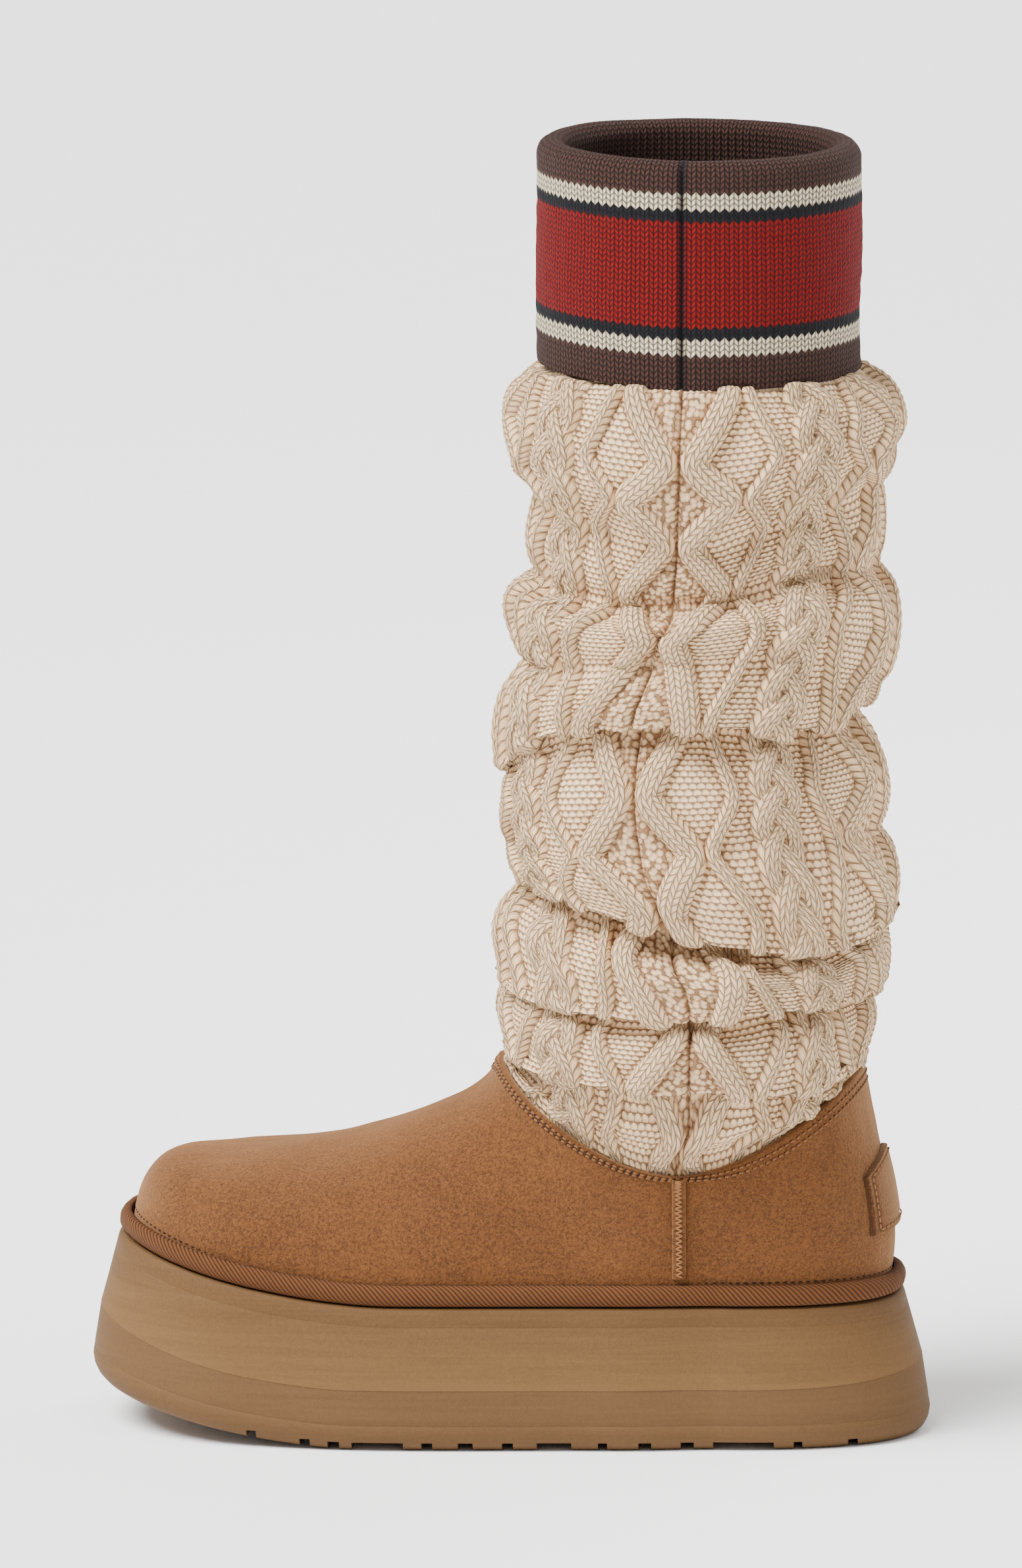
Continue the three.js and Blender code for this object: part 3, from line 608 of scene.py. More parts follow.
def plain_stitch(nodes, u, v):
    """Height and row of a field of V stitches: u counts wales, v counts rows."""
    leg = (2 * u).wrapped()
    leaning = 2 * (2 * u.wrapped()).whole() - 1
    row = v + leaning * (leg - 0.5) * 0.8
    twist = nodes.math("SINE", 12.6 * (row * 1.5 + leaning * leg * 0.9))
    return hump(leg).root() * (hump(row) ** 0.45) + 0.06 * twist, row


def purl_stitch(nodes, u, v):
    """Height of a field of purl bumps, which stand in rows like bricks."""
    shifted = u + 0.5 * v.whole()
    a = 2 * shifted.wrapped() - 1
    b = 2 * v.wrapped() - 1 + 0.14 * nodes.math("COSINE", 6.283 * shifted)
    return (1.0 - 0.7 * a * a - 0.8 * b * b).root()


def linear(r, g, b):
    """A colour as read from a picture, 0 to 255, as Blender's linear one."""
    shares = (r / 255, g / 255, b / 255)
    return tuple(c / 12.92 if c <= 0.04045 else ((c + 0.055) / 1.055) ** 2.4 for c in shares)


CREAM = (0.85, 0.59, 0.345)
# Painted shade colours that the yarn takes in the gaps between its loops
CREAM_GAP_SHADE = (0.28, 0.15, 0.07)
V_GAP_SHADE = (0.36, 0.21, 0.105)
HAIR_DEPTH = 0.16


def yarn_finish(nodes, height, deep, depth):
    """Cream yarn: pale where the loops stand, in painted shade between them and where the mesh's edge field
    is high, with a fine hairy grain.
    """
    hair = nodes.noise(3.2, 3.0, roughness=0.7)
    tone = nodes.noise(0.12, 2.0)
    # Painted shade: the edge field darkens the hollows beside the strands and the strands' own edges; hair
    # and tone are the yarn's random grain
    grain_and_hollow_shade = (hair - 0.5) * 0.5 + (tone - 0.5) * 0.25 - nodes.field("edge") * 0.5
    # Painted shade: the lower the stitch, the nearer its colour comes to deep, the gap shade
    surface = nodes.mix((height * 1.75 + grain_and_hollow_shade - 0.3).clipped(), deep, CREAM)
    relief = nodes.bump(height, depth, under=nodes.bump(hair, HAIR_DEPTH))
    return nodes.finish(surface, 0.95, relief, sheen=0.06, sheen_tint=(1.0, 0.8, 0.6))


def knit_v_material(name):
    nodes = Nodes(name)
    height, _ = plain_stitch(nodes, *loose_stitch(nodes, 0.25, 0.16, 0.3))
    return yarn_finish(nodes, height, V_GAP_SHADE, 1.5)


def knit_purl_material(name):
    """Purl bumps, and knots where the mesh says that there is moss stitch."""
    nodes = Nodes(name)
    purl = purl_stitch(nodes, *loose_stitch(nodes, 0.25, 0.3, 0.3))
    u, v = nodes.stitch()
    moss = nodes.field("moss")
    height = purl * (1 - moss) + (nodes.pebbles(u * 1.25, v) * 0.7 - 0.04) * moss
    return yarn_finish(nodes, height, CREAM_GAP_SHADE, 1.35)


def suede_material(name, light, dark, grain=1.0, edge_shade=False):
    nodes = Nodes(name)
    patches = nodes.noise(0.035, 3.0)
    nap = nodes.noise(0.95, 3.0, roughness=0.8)
    speck = nodes.noise(2.2, 2.0)
    tone = (patches - 0.5) * 0.6 + (nap - 0.5) * 2.9 + (speck - 0.5) * 1.8 + 0.52
    # Painted shade from the edge field: the patch's rounded rim and the groove of its thread come out darker
    if edge_shade:
        tone = tone - nodes.field("edge") * 0.9
    relief = nodes.bump(nap, 0.5 * grain, under=nodes.bump(speck, 0.1 * grain))
    colour = nodes.mix(tone.clipped(), dark, light)
    return nodes.finish(colour, 0.95, relief, sheen=0.55, sheen_tint=linear(230, 180, 130))


def foam_material(name, light, dark, fade=0.0):
    """Streaked foam, and with fade darker towards the top of the mesh's height field."""
    nodes = Nodes(name)
    streak = nodes.noise(0.035, 4.0, vector=nodes.stretch(0.25, 0.25, 4.5), roughness=0.6)
    fine = nodes.noise(0.12, 3.0, vector=nodes.stretch(0.2, 0.2, 7.0), roughness=0.6)
    speck = nodes.noise(1.1, 3.0, roughness=0.7)
    tone = (streak - 0.5) * 0.8 + (fine - 0.5) * 0.8 + (speck - 0.5) * 1.3 + 0.5
    if fade:
        tone = tone + (0.5 - nodes.field("height")) * fade
    return nodes.finish(nodes.mix(tone.clipped(), dark, light), 0.75, nodes.bump(speck, 0.12))


def twill_material(name, light, dark):
    nodes = Nodes(name)
    u, v = nodes.stitch()
    rib = hump(u + v)
    thread = nodes.noise(3.0, 2.0)
    # Painted light and shade: the ribs pale and their valleys dark, over the thread's random grain
    tone = (rib * 0.8 + (thread - 0.5) * 0.6 + 0.1).clipped()
    return nodes.finish(nodes.mix(tone, dark, light), 0.9, nodes.bump(rib.root() + (thread - 0.5) * 0.3, 0.5))


def thread_material(name, colour):
    nodes = Nodes(name)
    fibre = nodes.noise(4.0, 2.0)
    deep = tuple(c * 0.55 for c in colour)
    return nodes.finish(nodes.mix(fibre, deep, colour), 0.8, nodes.bump(fibre, 0.08))


def fleece_material(name, colour):
    nodes = Nodes(name)
    curl = nodes.noise(0.5, 4.0, roughness=0.7)
    deep = tuple(c * 0.6 for c in colour)
    return nodes.finish(nodes.mix(curl, deep, colour), 1.0, nodes.bump(curl, 1.5), sheen=0.4)


# The platform

AROUND = SKIN_COLUMNS
outline = skin_grid[0]
ahead = np.roll(outline, -1, axis=0) - np.roll(outline, 1, axis=0)
out_way = np.stack([ahead[:, 1], -ahead[:, 0]], -1)
out_way = unit(out_way) * -np.sign(out_way[0, 0])
lengthwise = out_way[:, 0] ** 2


def ring(distance, height_at):
    """One loop round the platform, a distance out from the suede's outline."""
    xy = outline[:, :2] + out_way * np.broadcast_to(distance, AROUND)[:, None]
    z = np.broadcast_to(height_at(xy[:, 0]), AROUND)
    return np.column_stack([xy, z])


LAYER_SHARE = 0.3  # how much of the flare is gone at the line between the two layers
OVERLAP = 2
LAYER_GAP = 0.04
SHARP_ANGLE = 32
flare = lerp(FLARE_SIDES, FLARE_ENDS, lengthwise)
layer_out = lerp(flare, TOP_LEDGE, LAYER_SHARE)


def layer_line(x):
    return tread_spring(x) + LAYER_HEIGHT + LAYER_RISE * lengthwise


def platform_top(x):
    return PLATFORM_HEIGHT + top_spring(x)


def capped(name, loops):
    """A solid from loops, its two ends closed by strips across the loop."""
    faces = grid_faces(len(loops), AROUND, True).tolist()
    for r in (0, len(loops) - 1):
        for i in range(AROUND // 2):
            strip = list(dict.fromkeys([i, i + 1, AROUND - 1 - i, (AROUND - i) % AROUND]))
            if len(strip) > 2:
                faces.append([r * AROUND + c for c in (strip if r else strip[::-1])])
    piece = add_mesh(name, loops, faces)
    bm = bmesh.new()
    bm.from_mesh(piece.data)
    bmesh.ops.recalc_face_normals(bm, faces=bm.faces)
    bm.to_mesh(piece.data)
    bm.free()
    return piece


def groove_tool():
    """A box for each groove of the tread; the wide ones leave a bar along the middle."""
    reach = 2 * (BALL_HALF_WIDTH + FLARE_ENDS) + 10
    cutter = bmesh.new()
    for groove in GROOVES:
        x = SOLE_END_X * groove["at"]
        wide = groove["width"] > WIDE_GROOVE
        length = (reach - CENTRE_BAR) / 2 if wide else reach
        for side in (-1, 1) if wide else (0,):
            place = Vector((x, side * (CENTRE_BAR + length) / 2, float(tread_spring(np.array(x))) - 1)) * MM
            size = Matrix.Diagonal((groove["width"] * MM, length * MM, (2 * GROOVE_DEPTH + 2) * MM, 1))
            bmesh.ops.create_cube(cutter, size=1, matrix=Matrix.Translation(place) @ size)
    mesh = bpy.data.meshes.new("grooves")
    cutter.to_mesh(mesh)
    cutter.free()
    return add_object("grooves", mesh)


def make_outsole(material):
    """The tread layer, its lower edge rounded, a faint moulding line above it, cut by the grooves."""
    def at(share, inset=0.0):
        return ring(lerp(flare, layer_out, share) - inset,
                    lambda x: lerp(tread_spring(x) + WIDEST_HEIGHT, layer_line(x), share))

    loops = [ring(flare - TREAD_INSET, tread_spring)]
    for step in (0.25, 0.5, 0.75):
        turn = step * math.pi / 2
        loops.append(ring(flare - TREAD_INSET * (1 - math.sin(turn)),
                          lambda x: tread_spring(x) + WIDEST_HEIGHT * (1 - math.cos(turn))))
    loops += [at(0), at(0.12), at(0.16, 0.2), at(0.2), at(0.5), at(0.93), at(1, 0.06)]
    piece = capped("tread_layer", loops + [ring(layer_out - OVERLAP, layer_line)])
    tool = groove_tool()
    cut = piece.modifiers.new("grooves", "BOOLEAN")
    cut.operation = "DIFFERENCE"
    cut.solver = "EXACT"
    cut.object = tool
    apply_modifiers(piece)
    bpy.data.objects.remove(tool)
    sharpen(piece, SHARP_ANGLE)
    dress(piece, material, "tread", "outsole")


def apply_modifiers(piece):
    graph = bpy.context.evaluated_depsgraph_get()
    mesh = bpy.data.meshes.new_from_object(piece.evaluated_get(graph))
    piece.modifiers.clear()
    old = piece.data
    piece.data = mesh
    bpy.data.meshes.remove(old)


def make_midsole(material):
    """The pale layer, with a slight hollow under its top edge and faint layer lines."""
    def at(share, inset=0.0):
        return ring(lerp(layer_out, TOP_LEDGE, share) - inset,
                    lambda x: lerp(layer_line(x) + LAYER_GAP, platform_top(x), share))

    loops = [ring(layer_out - OVERLAP, lambda x: layer_line(x) + LAYER_GAP)]
    loops += [at(0, -0.05), at(0.05), at(0.3), at(0.55), at(0.76), at(0.775, 0.14), at(0.79), at(0.9)]
    piece = capped("foam_layer", loops + [at(0.955, 0.1), at(0.985, 0.5), at(1, 1.4)])
    x, _, z = np.array([vertex.co for vertex in piece.data.vertices]).T / MM
    base = tread_spring(x) + LAYER_HEIGHT
    add_field(piece, "height", (z - base) / (platform_top(x) - base))
    sharpen(piece, SHARP_ANGLE)
    dress(piece, material, "foam", "midsole")


def make_insole(material):
    """The fleece footbed, its upper edge slanted."""
    side = SUEDE_WALL + 2.2
    heights = ((side, 0.1), (side, INSOLE_THICKNESS * 0.7), (side + 1.5, INSOLE_THICKNESS))
    piece = capped("footbed", [ring(-inset, lambda x: feather(x) + up) for inset, up in heights])
    dress(piece, material, "fleece", "insole")


# The suede foot

def make_upper(material):
    """Outer face, rolled top edge and inner face in one shell."""
    swell = waves(skin_grid, 34, 3) * 0.35 + waves(skin_grid, 12, 4) * 0.12
    rows = np.arange(SKIN_ROWS + 1)[:, None] / SKIN_ROWS
    outer = skin_grid + skin_normals * (swell * smooth(6 * rows) * smooth(8 * (1 - rows)))[..., None]
    inner = skin_grid - skin_normals * SUEDE_WALL
    inner[0, :, 2] = outline[:, 2]
    up = unit(skin_grid[-1] - skin_grid[-2])
    half = SUEDE_WALL / 2
    edge = [skin_grid[-1] - skin_normals[-1] * half * (1 - math.cos(a)) + up * half * 0.8 * math.sin(a)
            for a in np.radians((30, 60, 90, 120, 150))]
    piece = add_grid("suede_foot", np.concatenate([outer, edge, inner[::-3]]), wrap_rows=True)
    dress(piece, material, "suede", "suede_upper")


WELT_TURNS = 12
RIB_PITCH = 1.7
WELT_GIRTH = 9.0  # length of the tape's cross-section


def make_welt(material):
    """A half-round tape round the foot. u and v count the twill's ribs along and across it."""
    climb = skin_grid[:, :, 2] < skin_grid[0, :, 2] + WELT_HEIGHT + 1
    reach = ((skin_grid - outline) * np.column_stack([out_way, np.zeros(AROUND)])).sum(-1)
    inside = np.where(climb, reach, 0).max(0) + FIT_GAP
    along = running(np.linalg.norm(np.roll(outline, -1, axis=0) - outline, axis=1))[:-1]
    depth = WELT_DEPTH + waves(outline, 9, 5) * 0.12
    rows, uv = [], []
    for k in range(WELT_TURNS + 1):
        turn = math.pi * k / WELT_TURNS
        rows.append(ring(inside + 0.2 + math.sin(turn) ** 0.6 * depth,
                         lambda x: feather(x) + (0.5 - 0.5 * math.cos(turn)) * WELT_HEIGHT + 0.1))
        across = np.full(AROUND, WELT_GIRTH * k / WELT_TURNS)
        uv.append(np.column_stack([along, across]) / RIB_PITCH)
    for share in (0.9, 0):
        rows.append(ring(inside + 0.1, lambda x: feather(x) + share * WELT_HEIGHT))
        uv.append(uv[-1])
    piece = add_grid("binding_tape", np.array(rows), wrap_rows=True, uv=uv)
    dress(piece, material, "binding", "welt_binding")


def seam_share(z_over):
    """Share of the suede's side height for a height over the platform."""
    return z_over / (COLLAR_LOW - PLATFORM_HEIGHT)


SEAM_ANGLES = np.array([1.1, 2.9])  # the search for a side seam runs between these, from the toe
ZIGZAG_ENDS = 44
SEAM_THREAD = 0.34  # radii of the threads
PATCH_THREAD = 0.3
THREAD_SIDES = 6
ASKEW = (0.3, 0.2, 0.93)  # a direction that no stitch runs in
# Along each stitch, and how thick it is there
THREAD_RINGS = ((0, 0.35), (0.12, 0.8), (0.3, 1.0), (0.7, 1.0), (0.88, 0.8), (1, 0.35))


def make_side_seam(name, node, side, material, thread):
    """The overlapped seam: one edge laid over the other, with a zigzag thread on it."""
    search = SEAM_ANGLES if side < 0 else 2 * math.pi - SEAM_ANGLES

    def seam_angle(share, across):
        return angle_where(share, 0, SEAM_X + SEAM_WIDTH * (across - 0.5), *search)

    share = np.linspace(seam_share(WELT_HEIGHT + 1), 0.985, 90)
    share, a = np.meshgrid(share, np.linspace(0, 1, 9), indexing="ij")
    angle = seam_angle(share, a)
    height = FIT_GAP + 0.15 + SEAM_THICKNESS * np.sin(np.pi * (0.06 + 0.88 * a)) ** 0.5
    top = skin(angle, share, height + 0.12 * waves(skin(angle, share), 4, 6))
    low = skin(angle, share, FIT_GAP)
    piece = add_grid(name, np.concatenate([top, low[:, ::-1]], axis=1), flip=side > 0)
    dress(piece, material, "suede", node)
    share = np.linspace(seam_share(WELT_HEIGHT + 1.6), 0.96, ZIGZAG_ENDS)
    angle = seam_angle(share, np.where(np.arange(ZIGZAG_ENDS) % 2, 0.24, 0.72))
    ends = skin(angle, share, FIT_GAP + 0.42 + SEAM_THICKNESS)
    zigzag = add_thread(name + "_thread", zip(ends[:-1], ends[1:]), SEAM_THREAD)
    dress(zigzag, thread, "suede")


PATCH_THREAD_INSET = 2.2


def make_patch(material, thread):
    """The stitched patch on the back of the heel, bare."""
    middle = (PATCH_MIDDLE_Z - PLATFORM_HEIGHT) / SUEDE_TALL

    def place(a, b, lift):
        out = 2 * a - 1
        half = lerp(PATCH_HEIGHT, PATCH_END_HEIGHT, out**2) / 2 / SUEDE_TALL
        share = middle - PATCH_DROP / SUEDE_TALL * out**2 + lerp(-half, half, b)
        return skin(angle_where(share, 1, PATCH_HALF_LENGTH * out, math.pi - 1.2, math.pi + 1.2), share, lift)

    a, b = np.meshgrid(np.linspace(0, 1, 70), np.linspace(0, 1, 40), indexing="ij")
    edge = np.minimum(np.minimum(a, 1 - a) * 2 * PATCH_HALF_LENGTH, np.minimum(b, 1 - b) * PATCH_HEIGHT)
    near = np.clip(edge / 0.7, 0, 1)
    soft = np.sqrt(near * (2 - near))
    sunk = bell(edge - PATCH_THREAD_INSET, 0.6)
    top = place(a, b, FIT_GAP + 0.15 + PATCH_THICKNESS * (0.25 + 0.75 * soft) - 0.45 * sunk)
    low = place(a, b, FIT_GAP + 0.1)
    rows, columns = a.shape
    index = np.arange(a.size).reshape(a.shape)
    rim = np.concatenate([index[:, 0], index[-1, 1:], index[-2::-1, -1], index[0, -2:0:-1]])
    back = np.roll(rim, 1)
    wall = np.stack([rim, back, back + a.size, rim + a.size], -1)
    face = grid_faces(rows, columns, False)
    piece = add_mesh("heel_label", [top, low], np.concatenate([face, face[:, ::-1] + a.size, wall]))
    shaded = np.maximum(1 - soft, 0.6 * sunk)
    add_field(piece, "edge", np.array([shaded, np.ones_like(shaded)]))
    sharpen(piece, 50)
    dress(piece, material, "suede", "heel_patch")

    def stitch_ends(inset, count):
        stops = np.linspace(inset, 1 - inset, count + 1)[:, None]
        return lerp(stops[:-1], stops[1:], np.array([0.12, 0.88]))

    inset_a = PATCH_THREAD_INSET / (2 * PATCH_HALF_LENGTH)
    inset_b = PATCH_THREAD_INSET / PATCH_HEIGHT
    long, short = stitch_ends(inset_a, 16), stitch_ends(inset_b, 8)
    lines = [(long, np.full_like(long, inset_b)), (long, np.full_like(long, 1 - inset_b)),
             (np.full_like(short, inset_a), short), (np.full_like(short, 1 - inset_a), short)]
    stitches = [pair for line in lines for pair in place(*line, FIT_GAP + 0.35 + PATCH_THICKNESS)]
    dress(add_thread("heel_label_thread", stitches, PATCH_THREAD), thread, "suede")


def add_thread(name, stitches, radius):
    """Short stitches as slim capsules, each from one point to another."""
    verts, faces = [], []
    turn = turns(THREAD_SIDES)[:, None]
    for start, end in stitches:
        way = unit(end - start)
        side = unit(np.cross(way, ASKEW))
        spoke = (side * np.cos(turn) + np.cross(way, side) * np.sin(turn)) * radius
        first = len(verts) * THREAD_SIDES
        verts += [lerp(start, end, at) + spoke * thick for at, thick in THREAD_RINGS]
        final = (len(verts) - 1) * THREAD_SIDES
        faces += grid_faces(len(THREAD_RINGS), THREAD_SIDES, True, start=first).tolist()
        faces.append([first + k for k in reversed(range(THREAD_SIDES))])
        faces.append([final + k for k in range(THREAD_SIDES)])
    return add_mesh(name, verts, faces)


def row_of_stitches(name, share_at, lift, pitch, radius, begin=0.14, end=0.86):
    """Stitches right round the foot, share_at(angle) up the suede, each from begin to end of its step."""
    fine = np.linspace(0, 2 * math.pi, 1600)
    along = running(steps(skin(fine, share_at(fine), lift)))
    count = int(along[-1] / pitch)
    ends = np.interp(along[-1] * (np.arange(count)[:, None] + (begin, end)) / count, along, fine)
    return add_thread(name, skin(ends, share_at(ends), lift), radius)


column_lengths = steps(skin_grid).sum(0)


def share_of_column(length, angle):
    """A length along the suede's face as a share of the way from the platform to the collar line."""
    return length / np.interp(angle, turns(SKIN_COLUMNS), column_lengths, period=2 * math.pi)


# The knit shaft

FABRIC_RADIUS = 63.0  # the fabric's own distance round is measured at this radius
PLACES = np.radians([-45, 0, 45, 90, 135, 180, 225])


def fold_height(fold, angle):
    turned = math.pi - np.abs(math.pi - angle % (2 * math.pi))
    front, front_quarter, side, back_quarter, back = fold["heights"]
    values = np.array([front_quarter, front, front_quarter, side, back_quarter, back, back_quarter])
    return COLLAR_LOW + (CUFF_BOTTOM - COLLAR_LOW) * smooth_curve(PLACES, values, turned)


def fold_radius(fold, angle, name):
    front, side, back = fold[name]
    c = np.cos(angle)
    return CUFF_RADIUS * lerp(side, np.where(c > 0, front, back), c * c)


def shaft_point(angle, radius, z):
    angle, radius, z = np.broadcast_arrays(angle, radius, z)
    return np.stack([SHAFT_X - radius * np.cos(angle), -radius * np.sin(angle), z], -1)


def tuck_point(collar_at, inwards, drop):
    """A point inwards from the collar line, towards the leg's middle, and a drop below it."""
    x, y, z = collar_at.T
    flat = np.hypot(x - LEG_X, y)
    share = (flat - inwards) / flat
    return np.stack([lerp(LEG_X, x, share), y * share, z - drop], -1)


def shaft_guides(angle, collar_at):
    """The points that the folded fabric runs through, from inside the cuff down into the suede."""
    top = CUFF_RADIUS - CUFF_WALL - FIT_GAP - 0.2
    guides = [(top, CUFF_BOTTOM + CUFF_LAP), (top + 0.6, CUFF_BOTTOM + 1.5)]  # radius and height
    edge = collar_at[:, 2]
    for k, fold in enumerate(FOLDS):
        after = FOLDS[k + 1] if k + 1 < len(FOLDS) else None
        z = fold_height(fold, angle)
        below = fold_height(after, angle) if after else edge
        crease = fold_radius(fold, angle, "crease")
        swell = fold_radius(fold, angle, "swell")
        deep = z - below
        if k == 0:
            guides.append((crease + 2.6, CUFF_BOTTOM - 2.2))
        else:
            guides += [(crease, z + fold["tuck"]), (lerp(crease, swell, 0.16), z - 0.05 * deep)]
        guides += [(lerp(crease, swell, 0.75), z - deep * fold["at"] * 0.5), (swell, z - deep * fold["at"])]
        if after:
            lip = lerp(fold_radius(after, angle, "crease"), swell, after["lip"])
            guides.append((lerp(swell, lip, 0.4), z - deep * lerp(fold["at"], 1, 0.55)))
            guides.append((lip, below + (0.4 if after["tuck"] > 0 else 0.1 * deep)))
    points = [shaft_point(angle, radius, height) for radius, height in guides]
    # Where the last fold hangs right on the collar, at the front and back, the fabric goes straight in
    room = smooth((points[-1][:, 2] - edge - 1) / 6)
    points.append(tuck_point(collar_at, lerp(KNIT_INSIDE_SUEDE - 0.2, 0.4, room), -lerp(0.6, 5.0, room)))
    points.append(tuck_point(collar_at, KNIT_INSIDE_SUEDE - 0.2, lerp(1.0, -0.5, room)))
    points.append(tuck_point(collar_at, KNIT_INSIDE_SUEDE, LAP))
    return np.array(points)


def through(points, samples):
    """A centripetal curve through rows of points, shape (rows, columns, 3)."""
    padded = np.concatenate([2 * points[:1] - points[1:2], points, 2 * points[-1:] - points[-2:-1]])
    spans = (((0, 1), (1, 2), (2, 3)), ((0, 2), (1, 3)), ((1, 2),))
    out = []
    for k in range(len(points) - 1):
        near = padded[k:k + 4]
        knots = np.cumsum(np.sqrt(steps(near)) + 1e-6, axis=0)
        knots = np.concatenate([np.zeros_like(knots[:1]), knots])[..., None]
        for s in range(samples):
            t = lerp(knots[1], knots[2], s / samples)
            line = near
            for level in spans:
                line = [lerp(a, b, (t - knots[i]) / (knots[j] - knots[i]))
                        for a, b, (i, j) in zip(line, line[1:], level)]
            out += line
    return np.array(out + [points[-1]])


FABRIC_ANGLES = 240
CURVE_SAMPLES = 10
FABRIC_STEP = 0.5
GROUND_DROP = 2.2  # how far the ground between the cables lies under the face of the shaft's solid
# How far the slouching fabric is turned round the leg, in millimetres towards the heel, at heights of the
# side seam.
TWIST_HEIGHTS = np.array([91.0, 113, 153, 203, 247, 285.5, 324, 358, 380])
TWIST = np.array([0.5, 1, 2.5, -16.5, -18.5, -5.5, -2.3, -1.8, -1.8])


def make_fabric():
    """The folded fabric as a grid, rows down it and columns round the leg, and how far down the collar is."""
    angle = turns(FABRIC_ANGLES)
    curve = through(shaft_guides(angle, collar_points(angle)), CURVE_SAMPLES)
    along = running(steps(curve).mean(1))
    index = np.interp(np.arange(0, along[-1], FABRIC_STEP), along, np.arange(len(along)))
    low = np.minimum(index.astype(int), len(along) - 2)
    return lerp(curve[low], curve[low + 1], (index - low)[:, None, None]), along[-1 - CURVE_SAMPLES]


fabric_grid, COLLAR_DOWN = make_fabric()
FABRIC_LENGTH = FABRIC_STEP * (len(fabric_grid) - 1)


def blurred(grid, rows):
    """A grid softened along its rows."""
    kernel = np.hanning(2 * rows + 3)[1:-1]
    kernel /= kernel.sum()
    padded = np.concatenate([np.repeat(grid[:1], rows, 0), grid, np.repeat(grid[-1:], rows, 0)])
    return sum(weight * padded[k:k + len(grid)] for k, weight in enumerate(kernel))


FACE_BLUR = 8  # the blurs are in rows of the fabric
NORMAL_BLUR = 6
TURN_ROWS = 5
TWIST_BLUR = 41
fabric_normals = unit(blurred(-grid_normals(blurred(fabric_grid, FACE_BLUR)), NORMAL_BLUR))
# The yarn lies flatter where the fabric turns sharply under itself
fabric_turn = np.roll(fabric_normals, -TURN_ROWS, 0) * np.roll(fabric_normals, TURN_ROWS, 0)
fabric_turn = fabric_turn.sum(-1, keepdims=True)
fabric_lifts = fabric_normals * (0.15 + 0.85 * smooth((fabric_turn + 0.2) / 0.8))
side_column = fabric_grid[:, FABRIC_ANGLES // 4]
fabric_twist = np.interp(side_column[:, 2], TWIST_HEIGHTS, TWIST)
fabric_twist = np.pad(fabric_twist, TWIST_BLUR // 2, mode="edge")
fabric_twist = np.convolve(fabric_twist, np.ones(TWIST_BLUR) / TWIST_BLUR, mode="valid")
HEM_DOWN = 10  # the yarn stands up from this far down the fabric, just under the cuff


def fabric(around, down, lift=0.0):
    """A point of the fabric: millimetres round from the outer side seam, millimetres down from its top."""
    down = np.clip(down, 0, FABRIC_LENGTH)
    drop = GROUND_DROP * smooth((down - HEM_DOWN + 1) / 10)
    lift = (np.asarray(lift) * smooth((down - HEM_DOWN) / 6) - drop) * smooth((COLLAR_DOWN + 1 - down) / 6)
    turned = around + np.interp(down, np.arange(len(fabric_twist)) * FABRIC_STEP, fabric_twist)
    angle = math.pi / 2 + turned / FABRIC_RADIUS
    share = down / FABRIC_LENGTH
    point = on_grid(fabric_grid, angle, share)
    loose = smooth((COLLAR_DOWN - 4 - down) / 12) * smooth((down - HEM_DOWN - 2) / 10)
    lift = lift + waves(point, 30, 11) * loose
    return point + on_grid(fabric_lifts, angle, share) * lift[..., None]


ROUND = 2 * math.pi * FABRIC_RADIUS
MOTIF = ROUND / 4  # one trellis and one plait
WALE = 3.1
ROW = 2.9
PURL_WALE = 2.9
PURL_ROW = 2.0
# Heights, on the outer side, at which the two middle strands of a trellis touch; the rest follows evenly.
TOUCH_HEIGHTS = (333.3, 304.7, 274.5, 224.4, 182.5, 143.4, 102.2)
# How far the strands are from the trellis' middle, where the inner ones touch and where they are apart
INNER_TOUCHING = 5.4
INNER_APART = 18.3
OUTER_TOUCHING = 34.0
OUTER_APART = 25.7
DIAMOND = 48.0  # length of fabric from one touch to the next, above the first and below the last


def make_touches():
    """How far down the fabric the strands touch, and the count of each touch."""
    z = side_column[:, 2]
    rows = [np.nonzero((z[:-1] >= height) & (z[1:] < height))[0][-1] for height in TOUCH_HEIGHTS]
    places = [row * FABRIC_STEP for row in rows]
    places = [places[0] - 2 * DIAMOND, places[0] - DIAMOND] + places + [places[-1] + DIAMOND]
    return np.array(places), np.arange(-2, len(TOUCH_HEIGHTS) + 1, dtype=float)


touch_places, touch_counts = make_touches()


def opening(down):
    """0 where the trellis' strands touch at its middle, 1 where the diamond between them is widest."""
    turn = 2 * math.pi * (smooth_curve(touch_places, touch_counts, down) - 0.5)
    return 0.5 + 0.5 * np.arcsin(0.95 * np.cos(turn)) / math.asin(0.95)


def inner_strand(down):
    return lerp(INNER_TOUCHING, INNER_APART, opening(down))


def outer_strand(down):
    return lerp(OUTER_TOUCHING, OUTER_APART, opening(down))


PLAIT_PERIOD = 42.0
PLAIT_SWING = 5.6
PLAIT_STRAND_HALF = 4.2
PLAIT_HALF_WIDTH = PLAIT_SWING + PLAIT_STRAND_HALF
STRAND_START = 4.0
STRAND_END_GAP = 3
WALE_RIDGE = 0.35
LOOP_RIDGE = 0.45
WIDE_HALF = 5.1
THIN_HALF = 2.8


